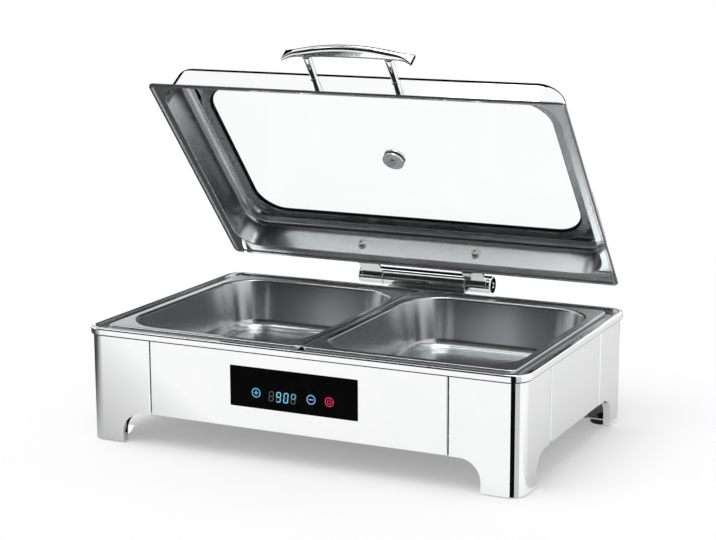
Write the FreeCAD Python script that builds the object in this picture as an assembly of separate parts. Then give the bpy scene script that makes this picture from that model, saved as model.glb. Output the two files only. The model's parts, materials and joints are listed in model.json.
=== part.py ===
import FreeCAD, Part
import math
import os

# Electric chafing dish: a stainless base with four corner legs, a water pan with two half-size food pans,
# and a hinged lid with a glass window. Lengths are in millimetres. X runs left to right, Y front to back and
# Z up. The base is drawn about X = 0, Y = 0 with the counter at Z = 0, the lid is drawn closed, and both are
# placed at the very end: the lid is turned open, and everything moves so that the origin is the middle of
# the whole object's footprint.

V = FreeCAD.Vector

# Base outside
base_length = 568.0
base_depth = 366.0
rim_top = 141.0
bead_width = 6.0
bead_height = 10.0
bead_round = 2.4
bead_gap = 0.2
body_below_rim = 6.0
rim_overhang = 3.0
shelf_width = 20.0
shelf_drop = 6.5
rim_sheet = 1.2

# Base body: legs and panels
body_corner_radius = 20.0
body_sheet = 1.2
bend_radius = 1.5
leg_face_front = 87.0
leg_face_side = 92.0
seam_gap = 1.2
return_depth = 10.0
bottom_return_depth = 18.0
panel_bottom = 39.5
leg_bottom = 1.5
front_foot_width = 48.0
side_foot_width = 47.0
arch_radius = 26.0

# Rubber feet
foot_radius = 14.0
foot_height = 7.0
foot_inset_x = 17.0
foot_inset_y = 30.0
foot_neck_radius = 4.0
foot_barb_radius = 6.0
foot_barb_height = 3.0

# Screws
seam_screw_radius = 2.0
seam_screw_inset = 6.0
seam_screw_low = 62.0
seam_screw_high = 112.0
screw_head_radius = 3.6
screw_head_height = 2.2
nut_across_flats = 7.0
nut_height = 3.2
screw_clearance = 0.1
tray_screw_pitch = 100.0
tray_screw_inset = 3.0
tray_screw_reach = 3.5

# Bottom tray
tray_sheet = 1.2
tray_gap = 1.6
tray_lip = 5.0
tray_corner_radius = 12.0
tray_slot_length = 36.0
tray_slot_width = 4.0
tray_slot_pitch = 50.0
tray_slot_count = 7
tray_slot_row = 118.0

# Water pan
water_pan_rim_gap = 2.0
water_pan_sheet = 1.0
water_pan_rim_radius = 14.0
water_margin_x = 25.0
water_margin_y = 26.5
water_cavity_radius = 45.0
water_pan_floor = 63.0
water_pan_draft = 4.0
water_pan_fillet = 12.0
seat_gap = 0.3

# Food pans
food_margin_x = 19.4
food_margin_y = 20.5
food_pans_gap = 0.4
food_rim_radius = 10.0
hem_width = 5.0
hem_round = 2.2
food_pan_sheet = 0.8
food_rim_width = 12.0
food_cavity_radius = 52.0
food_pan_inside_depth = 65.0
food_pan_draft = 9.0
food_pan_fillet = 14.0
fold_fillet = 3.0

# Heater
heater_margin_x = 49.0
heater_margin_y = 41.5
heater_thickness = 3.0
heater_corner_radius = 20.0
tube_radius = 3.5
tube_row_pitch = 50.0
tube_bend_margin_right = 50.0
tube_bend_margin_left = 60.0
tube_overhang = 4.0
clamp_pitch = 120.0
clamp_width = 12.0
clamp_sheet = 1.5
clamp_foot = 10.0
standoff_radius = 4.0
standoff_inset = 15.0
reflector_margin_x = 25.0
reflector_margin_y = 23.0
reflector_sheet = 0.8
reflector_lip = 5.0
terminal_radius = 4.5
terminal_length = 12.0
probe_radius = 3.0
probe_length = 30.0
probe_x = -60.0
cutout_x = 60.0
cutout_radius = 8.0
cutout_height = 8.0
cutout_ear_length = 24.0
cutout_ear_width = 9.0
cutout_tag_length = 4.0

# Control panel
fascia_length = 165.6
fascia_height = 48.5
fascia_bottom = 66.0
fascia_radius = 1.5
fascia_proud = 0.4
fascia_gap = 0.2
fascia_ledge = 2.0
housing_margin = 5.0
housing_flange = 9.0
housing_flange_thickness = 1.5
housing_wall = 1.8
housing_depth = 18.0
stud_radius = 1.5
stud_length = 6.0
stud_inset = 4.0
stud_nut_flats = 5.5
stud_nut_height = 2.4
board_thickness = 1.6
control_board_length = 152.0
control_board_height = 40.0
touch_gap = 5.0
touch_radius = 4.0
touch_wall = 1.0
touch_height = 84.5
touch_places = [-48.4, 23.4, 46.8]
display_left = -35.0
display_length = 42.0
display_bottom = 74.0
display_height = 17.0
display_gap = 0.4
boss_radius = 2.5
boss_inset = 5.0

# Power board on the rear panel
power_board_seam_gap = 59.0
power_board_length = 80.0
power_board_bottom = 60.0
power_board_height = 55.0
power_board_offset = 5.0
transformer_size = 28.0
transformer_height = 12.0
relay_length = 19.0
relay_width = 15.0
relay_height = 10.5

# Power inlet on the rear panel
inlet_seam_gap = 44.0
inlet_z = 60.0
inlet_body_length = 27.5
inlet_body_height = 19.6
inlet_body_depth = 22.0
inlet_flange_length = 50.0
inlet_flange_height = 23.0
inlet_flange_thickness = 2.5
inlet_wall = 1.7
inlet_recess_depth = 16.0
inlet_recess_cant = 5.0
inlet_radius = 2.0
inlet_pin_pitch = 14.0
inlet_pin_height = 4.0
inlet_pin_width = 2.0
inlet_pin_back = 5.0
inlet_pin_short = 4.0
inlet_earth_rise = 2.5
inlet_line_drop = 2.0
inlet_screw_pitch = 40.0
inlet_screw_radius = 1.6
inlet_screw_head = 2.9
inlet_screw_head_height = 1.8

# Lid, drawn closed
lid_margin_x = 9.5
lid_front_cover = -1.0
lid_rear_cover = 6.0
lid_seat_gap = 0.4
lid_sheet = 1.0
lid_hem_width = 5.0
lid_hem_height = 3.3
lid_hem_round = 1.5
lid_corner_radius = 7.0
flange_side = 14.0
flange_rear = 17.0
flange_front = 5.5
flange_rise = 1.6
dome_corner_radius = 32.0
dome_draft = 3.5
shoulder_height = 40.0
shoulder_width = 10.5
shoulder_fillet = 10.0
step_height = 5.0
step_run = 3.0
window_margin_side = 44.5
window_margin_front = 46.5
window_margin_rear = 47.5
window_radius = 38.0
glass_thickness = 4.0
glass_margin = 5.0
gasket_lip = 1.0
gasket_skin = 0.5
gasket_wall = 2.0
gasket_grip = 4.0
retainer_sheet = 0.8
retainer_outer = 6.5
retainer_inner = 2.0
retainer_rib = 1.2
retainer_rib_place = 12.0

# Steam vent in the middle of the glass
vent_radius = 14.0
vent_disc = 3.2
vent_neck_radius = 5.9
vent_hole_radius = 6.2
vent_round = 0.8
vent_pivot_radius = 2.0
vent_pivot_head = 3.6
vent_pivot_head_height = 1.6
vent_port_radius = 1.2
vent_port_place = 4.0
vent_port_count = 4

# Handle on the front wall
handle_height = 28.5
handle_post_pitch = 108.0
handle_post_length = 33.5
post_foot_radius = 4.1
post_head_radius = 5.4
post_flange_radius = 5.6
post_flange_height = 1.2
bar_half_length = 85.0
bar_middle_depth = 16.0
bar_end_depth = 4.2
bar_width = 10.0
bar_tip_width = 17.0
bar_tip_length = 12.0
bar_tip_curl = 1.8
bar_rise = 3.0
handle_screw_radius = 2.0
handle_screw_length = 12.0
handle_screw_head = 3.6
handle_screw_head_height = 2.6

# Hinge behind the rear panel
hinge_set_back = 22.6
hinge_rise = 8.9
barrel_radius = 12.0
barrel_bore_radius = 10.0
barrel_half_length = 58.9
knuckle_gap = 0.6
knuckle_end = 89.0
cap_thickness = 6.0
cap_round = 2.0
shaft_radius = 5.0
shaft_clearance = 0.05
damper_inset = 2.0
bracket_half_width = 55.0
bracket_sheet = 2.5
bracket_bottom = 75.0
bracket_drop = 25.9
bracket_bend = 3.0
bracket_screw_x = 40.0
bracket_screw_low = 85.0
bracket_screw_high = 112.0
clinch_radius = 4.5
clinch_height = 3.0
arm_sheet = 3.0
arm_wall_sheet = 2.5
arm_gap = 0.8
arm_rise = 29.0
lid_bolt_x = 81.0
lid_bolt_height = 16.0
lid_bolt_radius = 3.0
lid_bolt_head = 4.8
lid_bolt_head_height = 3.6
lid_bolt_socket = 2.2
washer_radius = 6.8
washer_height = 1.2
lid_nut_flats = 10.0
lid_nut_height = 5.0

# Inner leads
lead_radius = 1.5
thin_lead_radius = 1.2
lead_lane = 4.0
lead_end_gap = 0.2
floor_lead_height = 48.4
board_lead_height = 66.0
rear_lead_gap = 15.0
left_lead_gap = 20.0

# How far the lid stands open at rest
lid_open_angle = 49.4

# Worked out from the values above
half_length = base_length / 2 - rim_overhang
half_depth = base_depth / 2 - rim_overhang
front_seam = half_length - leg_face_front
side_seam = half_depth - leg_face_side
body_top = rim_top - body_below_rim
bead_bottom = rim_top - bead_height
shelf_top = rim_top - shelf_drop
shelf_bottom = shelf_top - rim_sheet
front_foot = half_length - front_foot_width
side_foot = half_depth - side_foot_width
foot_x = half_length - foot_inset_x
foot_y = half_depth - foot_inset_y
tray_bottom = panel_bottom + body_sheet
tray_top = tray_bottom + tray_sheet
tray_half_length = half_length - return_depth - tray_gap
tray_half_depth = half_depth - return_depth - tray_gap
water_cavity_length = base_length - 2 * water_margin_x
water_cavity_depth = base_depth - 2 * water_margin_y
water_rim_bottom = shelf_top + seat_gap
water_rim_top = water_rim_bottom + water_pan_sheet
water_pan_under = water_pan_floor - water_pan_sheet
food_rim_length = base_length / 2 - food_margin_x - food_pans_gap / 2
food_rim_depth = base_depth - 2 * food_margin_y
food_pan_pitch = food_rim_length + food_pans_gap
heater_length = water_cavity_length - 2 * heater_margin_x
heater_depth = water_cavity_depth - 2 * heater_margin_y
heater_top = water_pan_under - seat_gap
heater_under = heater_top - heater_thickness
tube_end = heater_length / 2 + tube_overhang
food_floor = rim_top - food_pan_inside_depth
panel_inside = half_depth - body_sheet
power_board_x = power_board_seam_gap - front_seam
inlet_x = front_seam - inlet_seam_gap
left_lead_x = -heater_length / 2 - left_lead_gap
rear_lead_y = half_depth - rear_lead_gap
lid_length = base_length - 2 * lid_margin_x
lid_front_edge = -food_rim_depth / 2 - lid_front_cover
lid_rear_edge = food_rim_depth / 2 + lid_rear_cover
window_length = lid_length - 2 * window_margin_side
window_front = lid_front_edge + window_margin_front
window_rear = lid_rear_edge - window_margin_rear
lid_under = rim_top + lid_seat_gap
flange_under = lid_under + flange_rise
flange_top = flange_under + lid_sheet
shoulder_under = flange_under + shoulder_height
frame_under = shoulder_under + step_height
frame_top = frame_under + lid_sheet
fold_x = lid_length / 2 - flange_side
fold_rear = lid_rear_edge - flange_rear
fold_front = lid_front_edge + flange_front
arm_top = flange_under + arm_rise
hinge_y = half_depth + hinge_set_back
hinge_z = rim_top + hinge_rise
bracket_shelf = hinge_z - bracket_drop
draft_slope = dome_draft / shoulder_height
draft_angle = math.degrees(math.atan(draft_slope))
wall_run = lid_sheet / math.cos(math.atan(draft_slope))
glass_top = frame_under - gasket_skin
glass_under = glass_top - glass_thickness
vent_y = (window_front + window_rear) / 2
rear_reach = hinge_y + barrel_radius
centre_shift = (rear_reach - base_depth / 2) / 2


def outline(points, at):
    """Closed wire through corners (u, v, radius), each rounded by its radius; at(u, v) places a point."""
    spans = []
    for i, (u, v, r) in enumerate(points):
        here = V(u, v, 0)
        if r <= 0:
            spans.append((here, None, here))
            continue
        back = V(points[i - 1][0], points[i - 1][1], 0) - here
        ahead = V(points[(i + 1) % len(points)][0], points[(i + 1) % len(points)][1], 0) - here
        back.normalize()
        ahead.normalize()
        half = back.getAngle(ahead) / 2
        middle = back + ahead
        middle.normalize()
        run = r / math.tan(half)
        reach = r / math.sin(half) - r
        spans.append((here + back * run, here + middle * reach, here + ahead * run))
    edges = []
    for i, (start, mid, end) in enumerate(spans):
        if mid is not None:
            edges.append(Part.Arc(at(start.x, start.y), at(mid.x, mid.y), at(end.x, end.y)).toShape())
        following = spans[(i + 1) % len(spans)][0]
        if end.distanceToPoint(following) > 1e-6:
            edges.append(Part.makeLine(at(end.x, end.y), at(following.x, following.y)))
    return Part.Wire(edges)


def flat(z):
    """Place an outline in a level plane at height z."""
    return lambda u, v: V(u, v, z)


def upright_x(y):
    """Place an outline (x, z) in the plane across Y at y."""
    return lambda u, v: V(u, y, v)


def upright_y(x):
    """Place an outline (y, z) in the plane across X at x."""
    return lambda u, v: V(x, u, v)


def rectangle(x0, x1, y0, y1, radius=0.0):
    return [(x0, y0, radius), (x1, y0, radius), (x1, y1, radius), (x0, y1, radius)]


def prism(points, at, along):
    return Part.Face(outline(points, at)).extrude(along)


def plate(x0, x1, y0, y1, radius, z0, z1):
    return prism(rectangle(x0, x1, y0, y1, radius), flat(z0), V(0, 0, z1 - z0))


def block(x0, x1, y0, y1, z0, z1):
    return Part.makeBox(x1 - x0, y1 - y0, z1 - z0, V(x0, y0, z0))


def rod(radius, start, end):
    way = end - start
    return Part.makeCylinder(radius, way.Length, start, way)


def turned(points, centre, axis=V(0, 0, 1)):
    """Solid of revolution: an outline (radius, height) turned about an upright axis, then laid along axis."""
    face = Part.Face(outline(points, upright_x(0.0)))
    solid = face.revolve(V(0, 0, 0), V(0, 0, 1), 360)
    solid.Placement = FreeCAD.Placement(centre, FreeCAD.Rotation(V(0, 0, 1), axis))
    return solid


def joined(pieces):
    return pieces[0].multiFuse(pieces[1:]).removeSplitter().Solids[0]


def ring(profile, x0, x1, y0, y1, radius):
    """Profile (outward, height) carried round a rounded rectangle: four runs and four turned corners."""
    east = x1 - radius
    west = x0 + radius
    north = y1 - radius
    south = y0 + radius
    centres = [(east, north), (west, north), (west, south), (east, south)]
    pieces = []
    for i, (cx, cy) in enumerate(centres):
        nx, ny = centres[(i + 1) % 4]
        angle = math.radians(90 * i)
        start = V(math.cos(angle), math.sin(angle), 0)
        end = V(-math.sin(angle), math.cos(angle), 0)

        def corner_at(u, v):
            return V(cx, cy, v) + start * (radius + u)

        def run_at(u, v):
            return V(cx, cy, v) + end * (radius + u)

        pieces.append(Part.Face(outline(profile, corner_at)).revolve(V(cx, cy, 0), V(0, 0, 1), 90))
        pieces.append(Part.Face(outline(profile, run_at)).extrude(V(nx - cx, ny - cy, 0)))
    return joined(pieces)


def hexagon(flats, height, start, axis):
    """Hexagonal nut body that stands on start along axis."""
    reach = flats / math.sqrt(3)
    angles = [math.radians(60 * k) for k in range(6)]
    corners = [(reach * math.cos(a), reach * math.sin(a), 0) for a in angles]
    solid = prism(corners, flat(0), V(0, 0, height))
    solid.Placement = FreeCAD.Placement(start, FreeCAD.Rotation(V(0, 0, 1), axis))
    return solid


def pan_head_screw(radius, length, head_radius, head_height, seat, axis):
    """Screw whose head stands on seat along axis, with its shank the other way."""
    shape = [
        (0, -length, 0),
        (radius, -length, 0.3),
        (radius, 0, 0),
        (head_radius, 0, 0),
        (head_radius, head_height, head_height * 0.6),
        (0, head_height, 0),
    ]
    return turned(shape, seat, axis)


def sheet_screw(length, seat, axis):
    """The one size of screw that joins legs, panels, tray and bracket."""
    return pan_head_screw(seam_screw_radius, length, screw_head_radius, screw_head_height, seat, axis)


def mirrored(shape, across):
    return shape.mirror(V(0, 0, 0), across)


# Base

def make_top_frame():
    inner = -bead_width
    skirt = bead_gap - rim_overhang
    profile = [
        (0, bead_bottom, bead_round),
        (0, rim_top, bead_round),
        (inner, rim_top, bead_round * 0.7),
        (inner, shelf_top, 0.8),
        (-shelf_width, shelf_top, 0),
        (-shelf_width, shelf_bottom, 0),
        (-rim_overhang - body_sheet - bead_gap, shelf_bottom, 0),
        (-rim_overhang - body_sheet - bead_gap, body_top, 0),
        (skirt, body_top, 0),
        (skirt, bead_bottom, 0),
    ]
    x = base_length / 2
    y = base_depth / 2
    return ring(profile, -x, x, -y, y, body_corner_radius + rim_overhang)


def inner_top_cut():
    """Room under the rim's shelf, cut from every fold of the legs and panels."""
    x = half_length - body_sheet
    y = half_depth - body_sheet
    return plate(-x, x, -y, y, body_corner_radius - body_sheet, shelf_bottom, body_top + 1)


def seam_screw_places():
    """Head seat, direction of the head, for every screw of the four rear right seams, mirrored later."""
    places = []
    for z in (seam_screw_low, seam_screw_high):
        places.append((V(front_seam + body_sheet, half_depth - seam_screw_inset, z), V(1, 0, 0)))
        places.append((V(half_length - seam_screw_inset, side_seam + body_sheet, z), V(0, 1, 0)))
    return places


def seam_holes():
    holes = []
    for seat, axis in seam_screw_places():
        holes.append(rod(seam_screw_radius + screw_clearance, seat - axis * 12, seat + axis * 2))
    return holes


def make_rear_right_leg():
    t = body_sheet
    folded = [
        (front_seam, half_depth, bend_radius),
        (half_length, half_depth, body_corner_radius),
        (half_length, side_seam, bend_radius),
        (half_length - return_depth, side_seam, 0),
        (half_length - return_depth, side_seam + t, 0),
        (half_length - t, side_seam + t, 0),
        (half_length - t, half_depth - t, body_corner_radius - t),
        (front_seam + t, half_depth - t, 0),
        (front_seam + t, half_depth - return_depth, 0),
        (front_seam, half_depth - return_depth, 0),
    ]
    leg = prism(folded, flat(leg_bottom), V(0, 0, body_top - leg_bottom))
    lip_depth = return_depth - t

    def arch(seam, foot, grow):
        return [
            (seam - 5 + grow * 5 / t, leg_bottom - 5 + grow * 5 / t, 0),
            (foot + grow, leg_bottom - 5 + grow * 5 / t, 0),
            (foot + grow, panel_bottom + grow, arch_radius + grow),
            (seam - 5 + grow * 5 / t, panel_bottom + grow, 0),
        ]

    rear_lip = prism(arch(front_seam, front_foot, t), upright_x(half_depth - t / 2), V(0, -lip_depth, 0))
    side_lip = prism(arch(side_seam, side_foot, t), upright_y(half_length - t / 2), V(-lip_depth, 0, 0))
    rear_arch = prism(arch(front_seam, front_foot, 0), upright_x(half_depth + 1), V(0, -return_depth - 2, 0))
    side_arch = prism(arch(side_seam, side_foot, 0), upright_y(half_length + 1), V(-return_depth - 2, 0, 0))
    foot_plate_corners = [
        (front_foot + t, half_depth - t, 0),
        (half_length - t, half_depth - t, body_corner_radius - t),
        (half_length - t, side_foot + t, 0),
        (half_length - 2 * foot_inset_x, side_foot + t, 4),
        (front_foot + t, half_depth - foot_inset_x, 4),
    ]
    foot_plate = prism(foot_plate_corners, flat(foot_height), V(0, 0, t))
    leg = joined([leg, rear_lip.cut(rear_arch), side_lip.cut(side_arch), foot_plate])
    cuts = [rear_arch, side_arch, inner_top_cut()]
    cuts.append(rod(foot_neck_radius, V(foot_x, foot_y, 0), V(foot_x, foot_y, foot_height + 5)))
    cuts += seam_holes()
    # the arch cuts reach past the foot plate's edge only where the leg is open
    return leg.cut(Part.makeCompound(cuts)).Solids[0]


def panel_shell(half_width, out, along):
    """Panel with folded ends, foot and head; out points outwards and along runs along its width."""
    t = body_sheet

    def plan_at(u, v):
        return along * u + out * (reach - v) + V(0, 0, panel_bottom)

    def side_at(u, v):
        return along * -half_width + out * (reach - u) + V(0, 0, v)

    reach = half_depth if abs(out.y) > 0.5 else half_length
    ends = [
        (-half_width, 0, bend_radius),
        (half_width, 0, bend_radius),
        (half_width, return_depth, 0),
        (half_width - t, return_depth, 0),
        (half_width - t, t, 0),
        (-half_width + t, t, 0),
        (-half_width + t, return_depth, 0),
        (-half_width, return_depth, 0),
    ]
    foot_fold = [
        (0, panel_bottom + 4, 0),
        (0, panel_bottom, bend_radius),
        (bottom_return_depth, panel_bottom, 0),
        (bottom_return_depth, panel_bottom + t, 0),
        (t, panel_bottom + t, 0),
        (t, panel_bottom + 4, 0),
    ]
    head_fold = rectangle(t / 2, return_depth, shelf_bottom - t, shelf_bottom)
    shell = Part.Face(outline(ends, plan_at)).extrude(V(0, 0, body_top - panel_bottom))
    foot = Part.Face(outline(foot_fold, side_at)).extrude(along * (2 * half_width))
    head = Part.Face(outline(head_fold, side_at)).extrude(along * (2 * half_width))
    corner = block(-half_length - 1, half_length + 1, -half_depth - 1, half_depth + 1, 0, panel_bottom + 4)
    upper = shell.cut(corner)
    return joined([upper, foot, head]).cut(inner_top_cut())


def tray_screw_places(side):
    y = side * (tray_half_depth - tray_screw_inset)
    return [V((k - 1.5) * tray_screw_pitch, y, panel_bottom) for k in range(4)]


def tray_screw_holes():
    radius = seam_screw_radius + screw_clearance
    places = tray_screw_places(-1) + tray_screw_places(1)
    return [rod(radius, p - V(0, 0, 3), p + V(0, 0, 6)) for p in places]


def make_side_panel():
    return panel_shell(side_seam - seam_gap, V(1, 0, 0), V(0, 1, 0))


def stud_places():
    x = fascia_length / 2 + housing_margin + stud_inset
    low = fascia_bottom
    high = fascia_bottom + fascia_height
    return [V(sx * x, -panel_inside, z) for sx in (-1, 1) for z in (low, high)]


def make_front_panel():
    shell = panel_shell(front_seam - seam_gap, V(0, -1, 0), V(1, 0, 0))
    x = fascia_length / 2 + fascia_gap
    low = fascia_bottom - fascia_gap
    high = fascia_bottom + fascia_height + fascia_gap
    edge = rectangle(-x, x, low, high, fascia_radius)
    opening = prism(edge, upright_x(-half_depth - 1), V(0, body_sheet + 2, 0))
    studs = [rod(stud_radius, p - V(0, body_sheet / 2, 0), p + V(0, stud_length, 0)) for p in stud_places()]
    shell = shell.cut(Part.makeCompound([opening] + seam_hole_set() + tray_screw_holes()))
    return joined([shell] + studs)


def bracket_screw_places():
    zs = (bracket_screw_low, bracket_screw_high)
    return [V(sx * bracket_screw_x, half_depth + bracket_sheet, z) for sx in (-1, 1) for z in zs]


def power_post_places():
    x0 = power_board_x - power_board_length / 2 + boss_inset
    x1 = power_board_x + power_board_length / 2 - boss_inset
    z0 = power_board_bottom + boss_inset
    z1 = power_board_bottom + power_board_height - boss_inset
    return [V(x, panel_inside, z) for x in (x0, x1) for z in (z0, z1)]


def inlet_outline(length, height, radius):
    """Rounded rectangle about the middle of the power inlet."""
    x = length / 2
    z = height / 2
    return rectangle(inlet_x - x, inlet_x + x, inlet_z - z, inlet_z + z, radius)


def inlet_screw_places():
    y = half_depth + inlet_flange_thickness
    return [V(inlet_x + s * inlet_screw_pitch / 2, y, inlet_z) for s in (-1, 1)]


def make_rear_panel():
    shell = panel_shell(front_seam - seam_gap, V(0, 1, 0), V(1, 0, 0))
    edge = inlet_outline(inlet_body_length + 2 * fascia_gap, inlet_body_height + 2 * fascia_gap, inlet_radius)
    inlet = prism(edge, upright_x(panel_inside - 1), V(0, body_sheet + 2, 0))
    bosses = []
    holes = [inlet]
    for p in bracket_screw_places():
        inner = V(p.x, panel_inside, p.z)
        bosses.append(rod(clinch_radius, inner + V(0, body_sheet / 2, 0), inner - V(0, clinch_height, 0)))
        holes.append(rod(seam_screw_radius + screw_clearance, p, inner - V(0, clinch_height + 1, 0)))
    for p in power_post_places():
        bosses.append(rod(boss_radius, p + V(0, body_sheet / 2, 0), p - V(0, power_board_offset, 0)))
    for p in inlet_screw_places():
        holes.append(rod(inlet_screw_radius + screw_clearance, p, p - V(0, 12, 0)))
    shell = joined([shell] + bosses)
    return shell.cut(Part.makeCompound(holes + seam_hole_set() + tray_screw_holes())).Solids[0]


def seam_hole_set():
    """Seam holes of all four corners."""
    right_rear = Part.makeCompound(seam_holes())
    left_rear = mirrored(right_rear, V(1, 0, 0))
    right_front = mirrored(right_rear, V(0, 1, 0))
    left_front = mirrored(left_rear, V(0, 1, 0))
    return [right_rear, left_rear, right_front, left_front]


def four_corners(shape):
    left = mirrored(shape, V(1, 0, 0))
    return [shape, left, mirrored(shape, V(0, 1, 0)), mirrored(left, V(0, 1, 0))]


def make_seam_screws():
    screws = []
    length = 2 * body_sheet + seam_gap + nut_height + 1
    for seat, axis in seam_screw_places():
        screws.append(sheet_screw(length, seat, axis))
    return four_corners(Part.makeCompound(screws))


def make_seam_nuts():
    nuts = []
    for seat, axis in seam_screw_places():
        start = seat - axis * (2 * body_sheet + seam_gap + nut_height)
        nut = hexagon(nut_across_flats, nut_height, start, axis)
        nuts.append(nut.cut(rod(seam_screw_radius + screw_clearance, start - axis, seat)))
    return four_corners(Part.makeCompound(nuts))


def make_tray_screws():
    length = body_sheet + tray_sheet + tray_screw_reach
    places = tray_screw_places(-1) + tray_screw_places(1)
    return [sheet_screw(length, p, V(0, 0, -1)) for p in places]


def make_bottom_tray():
    x = tray_half_length
    y = tray_half_depth
    r = tray_corner_radius
    floor = plate(-x, x, -y, y, r, tray_bottom, tray_top)
    lip = ring(rectangle(-tray_sheet, 0, tray_bottom, tray_bottom + tray_lip), -x, x, -y, y, r)
    slots = []
    w = tray_slot_width / 2
    half = tray_slot_length / 2
    for k in range(tray_slot_count):
        middle = (k - (tray_slot_count - 1) / 2) * tray_slot_pitch
        for side in (-1, 1):
            row = side * tray_slot_row
            edges = (middle - w, middle + w, row - half, row + half)
            slots.append(plate(*edges, w - 0.01, tray_bottom - 1, tray_top + 1))
    return joined([floor, lip]).cut(Part.makeCompound(slots + tray_screw_holes())).Solids[0]


def make_rubber_feet():
    profile = [
        (0, 0, 0),
        (foot_radius, 0, 1.0),
        (foot_radius, foot_height, 1.0),
        (foot_neck_radius, foot_height, 0),
        (foot_neck_radius, foot_height + body_sheet, 0),
        (foot_barb_radius, foot_height + body_sheet, 0),
        (foot_neck_radius - 0.5, foot_height + body_sheet + foot_barb_height, 0),
        (0, foot_height + body_sheet + foot_barb_height, 0),
    ]
    return [turned(profile, V(sx * foot_x, sy * foot_y, 0)) for sx in (-1, 1) for sy in (-1, 1)]


# Pans

def dished_sheet(x0, x1, y0, y1, radius, top, floor, draft, fillet, sheet):
    """Pressed hollow with a rolled top edge, drafted walls and a flat floor. Sizes are of its inside."""
    edge = fold_fillet + 3
    toe = fillet + 2
    profile = [
        (edge, top, 0),
        (0, top, fold_fillet + sheet),
        (-draft, floor, fillet),
        (-draft - toe, floor, 0),
        (-draft - toe, floor - sheet, 0),
        (-draft + sheet, floor - sheet, fillet + sheet),
        (sheet, top - sheet, fold_fillet),
        (edge, top - sheet, 0),
    ]
    walls = ring(profile, x0, x1, y0, y1, radius)
    inset = draft + toe
    base = plate(x0 + inset, x1 - inset, y0 + inset, y1 - inset, radius - inset, floor - sheet, floor)
    return walls, base


def make_water_pan():
    x = water_cavity_length / 2
    y = water_cavity_depth / 2
    heights = (water_rim_top, water_pan_floor)
    bends = (water_pan_draft, water_pan_fillet, water_pan_sheet)
    walls, base = dished_sheet(-x, x, -y, y, water_cavity_radius, *heights, *bends)
    rim_x = base_length / 2 - bead_width - water_pan_rim_gap
    rim_y = base_depth / 2 - bead_width - water_pan_rim_gap
    rim = plate(-rim_x, rim_x, -rim_y, rim_y, water_pan_rim_radius, water_rim_bottom, water_rim_top)
    grow = fold_fillet + 2
    rim = rim.cut(plate(-x - grow, x + grow, -y - grow, y + grow, water_cavity_radius + grow, 0, rim_top + 5))
    return joined([walls, base, rim])


def make_food_pan(side):
    middle = side * food_pan_pitch / 2
    x0 = middle - food_rim_length / 2
    x1 = middle + food_rim_length / 2
    y = food_rim_depth / 2
    w = food_rim_width
    bends = (food_pan_draft, food_pan_fillet, food_pan_sheet)
    walls, base = dished_sheet(x0 + w, x1 - w, -y + w, y - w, food_cavity_radius, rim_top, food_floor, *bends)
    h = hem_width / 2
    rim = plate(x0 + h, x1 - h, -y + h, y - h, food_rim_radius - h, rim_top - food_pan_sheet, rim_top)
    w = food_rim_width - fold_fillet - 2
    inner_radius = food_cavity_radius + fold_fillet + 2
    inner = plate(x0 + w, x1 - w, -y + w, y - w, inner_radius, 0, rim_top + 5)
    hem_bottom = water_rim_top + seat_gap
    hem = [
        (0, hem_bottom, hem_round),
        (0, rim_top, hem_round),
        (-hem_width, rim_top, 0.6),
        (-hem_width, hem_bottom, hem_round),
    ]
    return joined([walls, base, rim.cut(inner), ring(hem, x0, x1, -y, y, food_rim_radius)])


# Heater

def make_heater_plate():
    x = heater_length / 2
    y = heater_depth / 2
    return plate(-x, x, -y, y, heater_corner_radius, heater_under, heater_top)


def lead(points, radius):
    """Round lead along straight runs joined by tangent arcs; points are (place, bend radius)."""
    edges = []
    last = points[0][0]
    for i in range(1, len(points) - 1):
        here, bend = points[i]
        back = points[i - 1][0] - here
        ahead = points[i + 1][0] - here
        back.normalize()
        ahead.normalize()
        half = back.getAngle(ahead) / 2
        middle = back + ahead
        middle.normalize()
        run = bend / math.tan(half)
        start = here + back * run
        end = here + ahead * run
        if last.distanceToPoint(start) > 1e-6:
            edges.append(Part.makeLine(last, start))
        edges.append(Part.Arc(start, here + middle * (bend / math.sin(half) - bend), end).toShape())
        last = end
    edges.append(Part.makeLine(last, points[-1][0]))
    path = Part.Wire(edges)
    way = points[1][0] - points[0][0]
    section = Part.Wire([Part.makeCircle(radius, points[0][0], way)])
    return path.makePipeShell([section], True, False)


def tube_height():
    return heater_under - tube_radius


def make_heating_tube():
    z = tube_height()
    half = tube_row_pitch / 2
    rows = [-1.5 * tube_row_pitch, -half, half, 1.5 * tube_row_pitch]
    right = heater_length / 2 - tube_bend_margin_right + half
    left = tube_bend_margin_left - heater_length / 2 - half
    points = [
        (V(-tube_end, rows[0], z), 0),
        (V(right, rows[0], z), half),
        (V(right, rows[1], z), half),
        (V(left, rows[1], z), half),
        (V(left, rows[2], z), half),
        (V(right, rows[2], z), half),
        (V(right, rows[3], z), half),
        (V(-tube_end, rows[3], z), 0),
    ]
    # a half turn is two quarter turns whose ends meet, so each bend is a hair under half the row pitch
    points = [(p, b * 0.9999) for p, b in points]
    return lead(points, tube_radius)


def make_element_terminals():
    """Two ceramic ends on the heating tube, each with its contact stem."""
    z = tube_height()
    ends = []
    for side in (-1, 1):
        seat = V(-tube_end, side * 1.5 * tube_row_pitch, z)
        shape = [
            (0, 0, 0),
            (terminal_radius, 0, 0.5),
            (terminal_radius, terminal_length * 0.6, 0.5),
            (1.6, terminal_length * 0.6, 0),
            (1.6, terminal_length, 0),
            (0, terminal_length, 0),
        ]
        ends.append(turned(shape, seat, V(-1, 0, 0)))
    return ends


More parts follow.
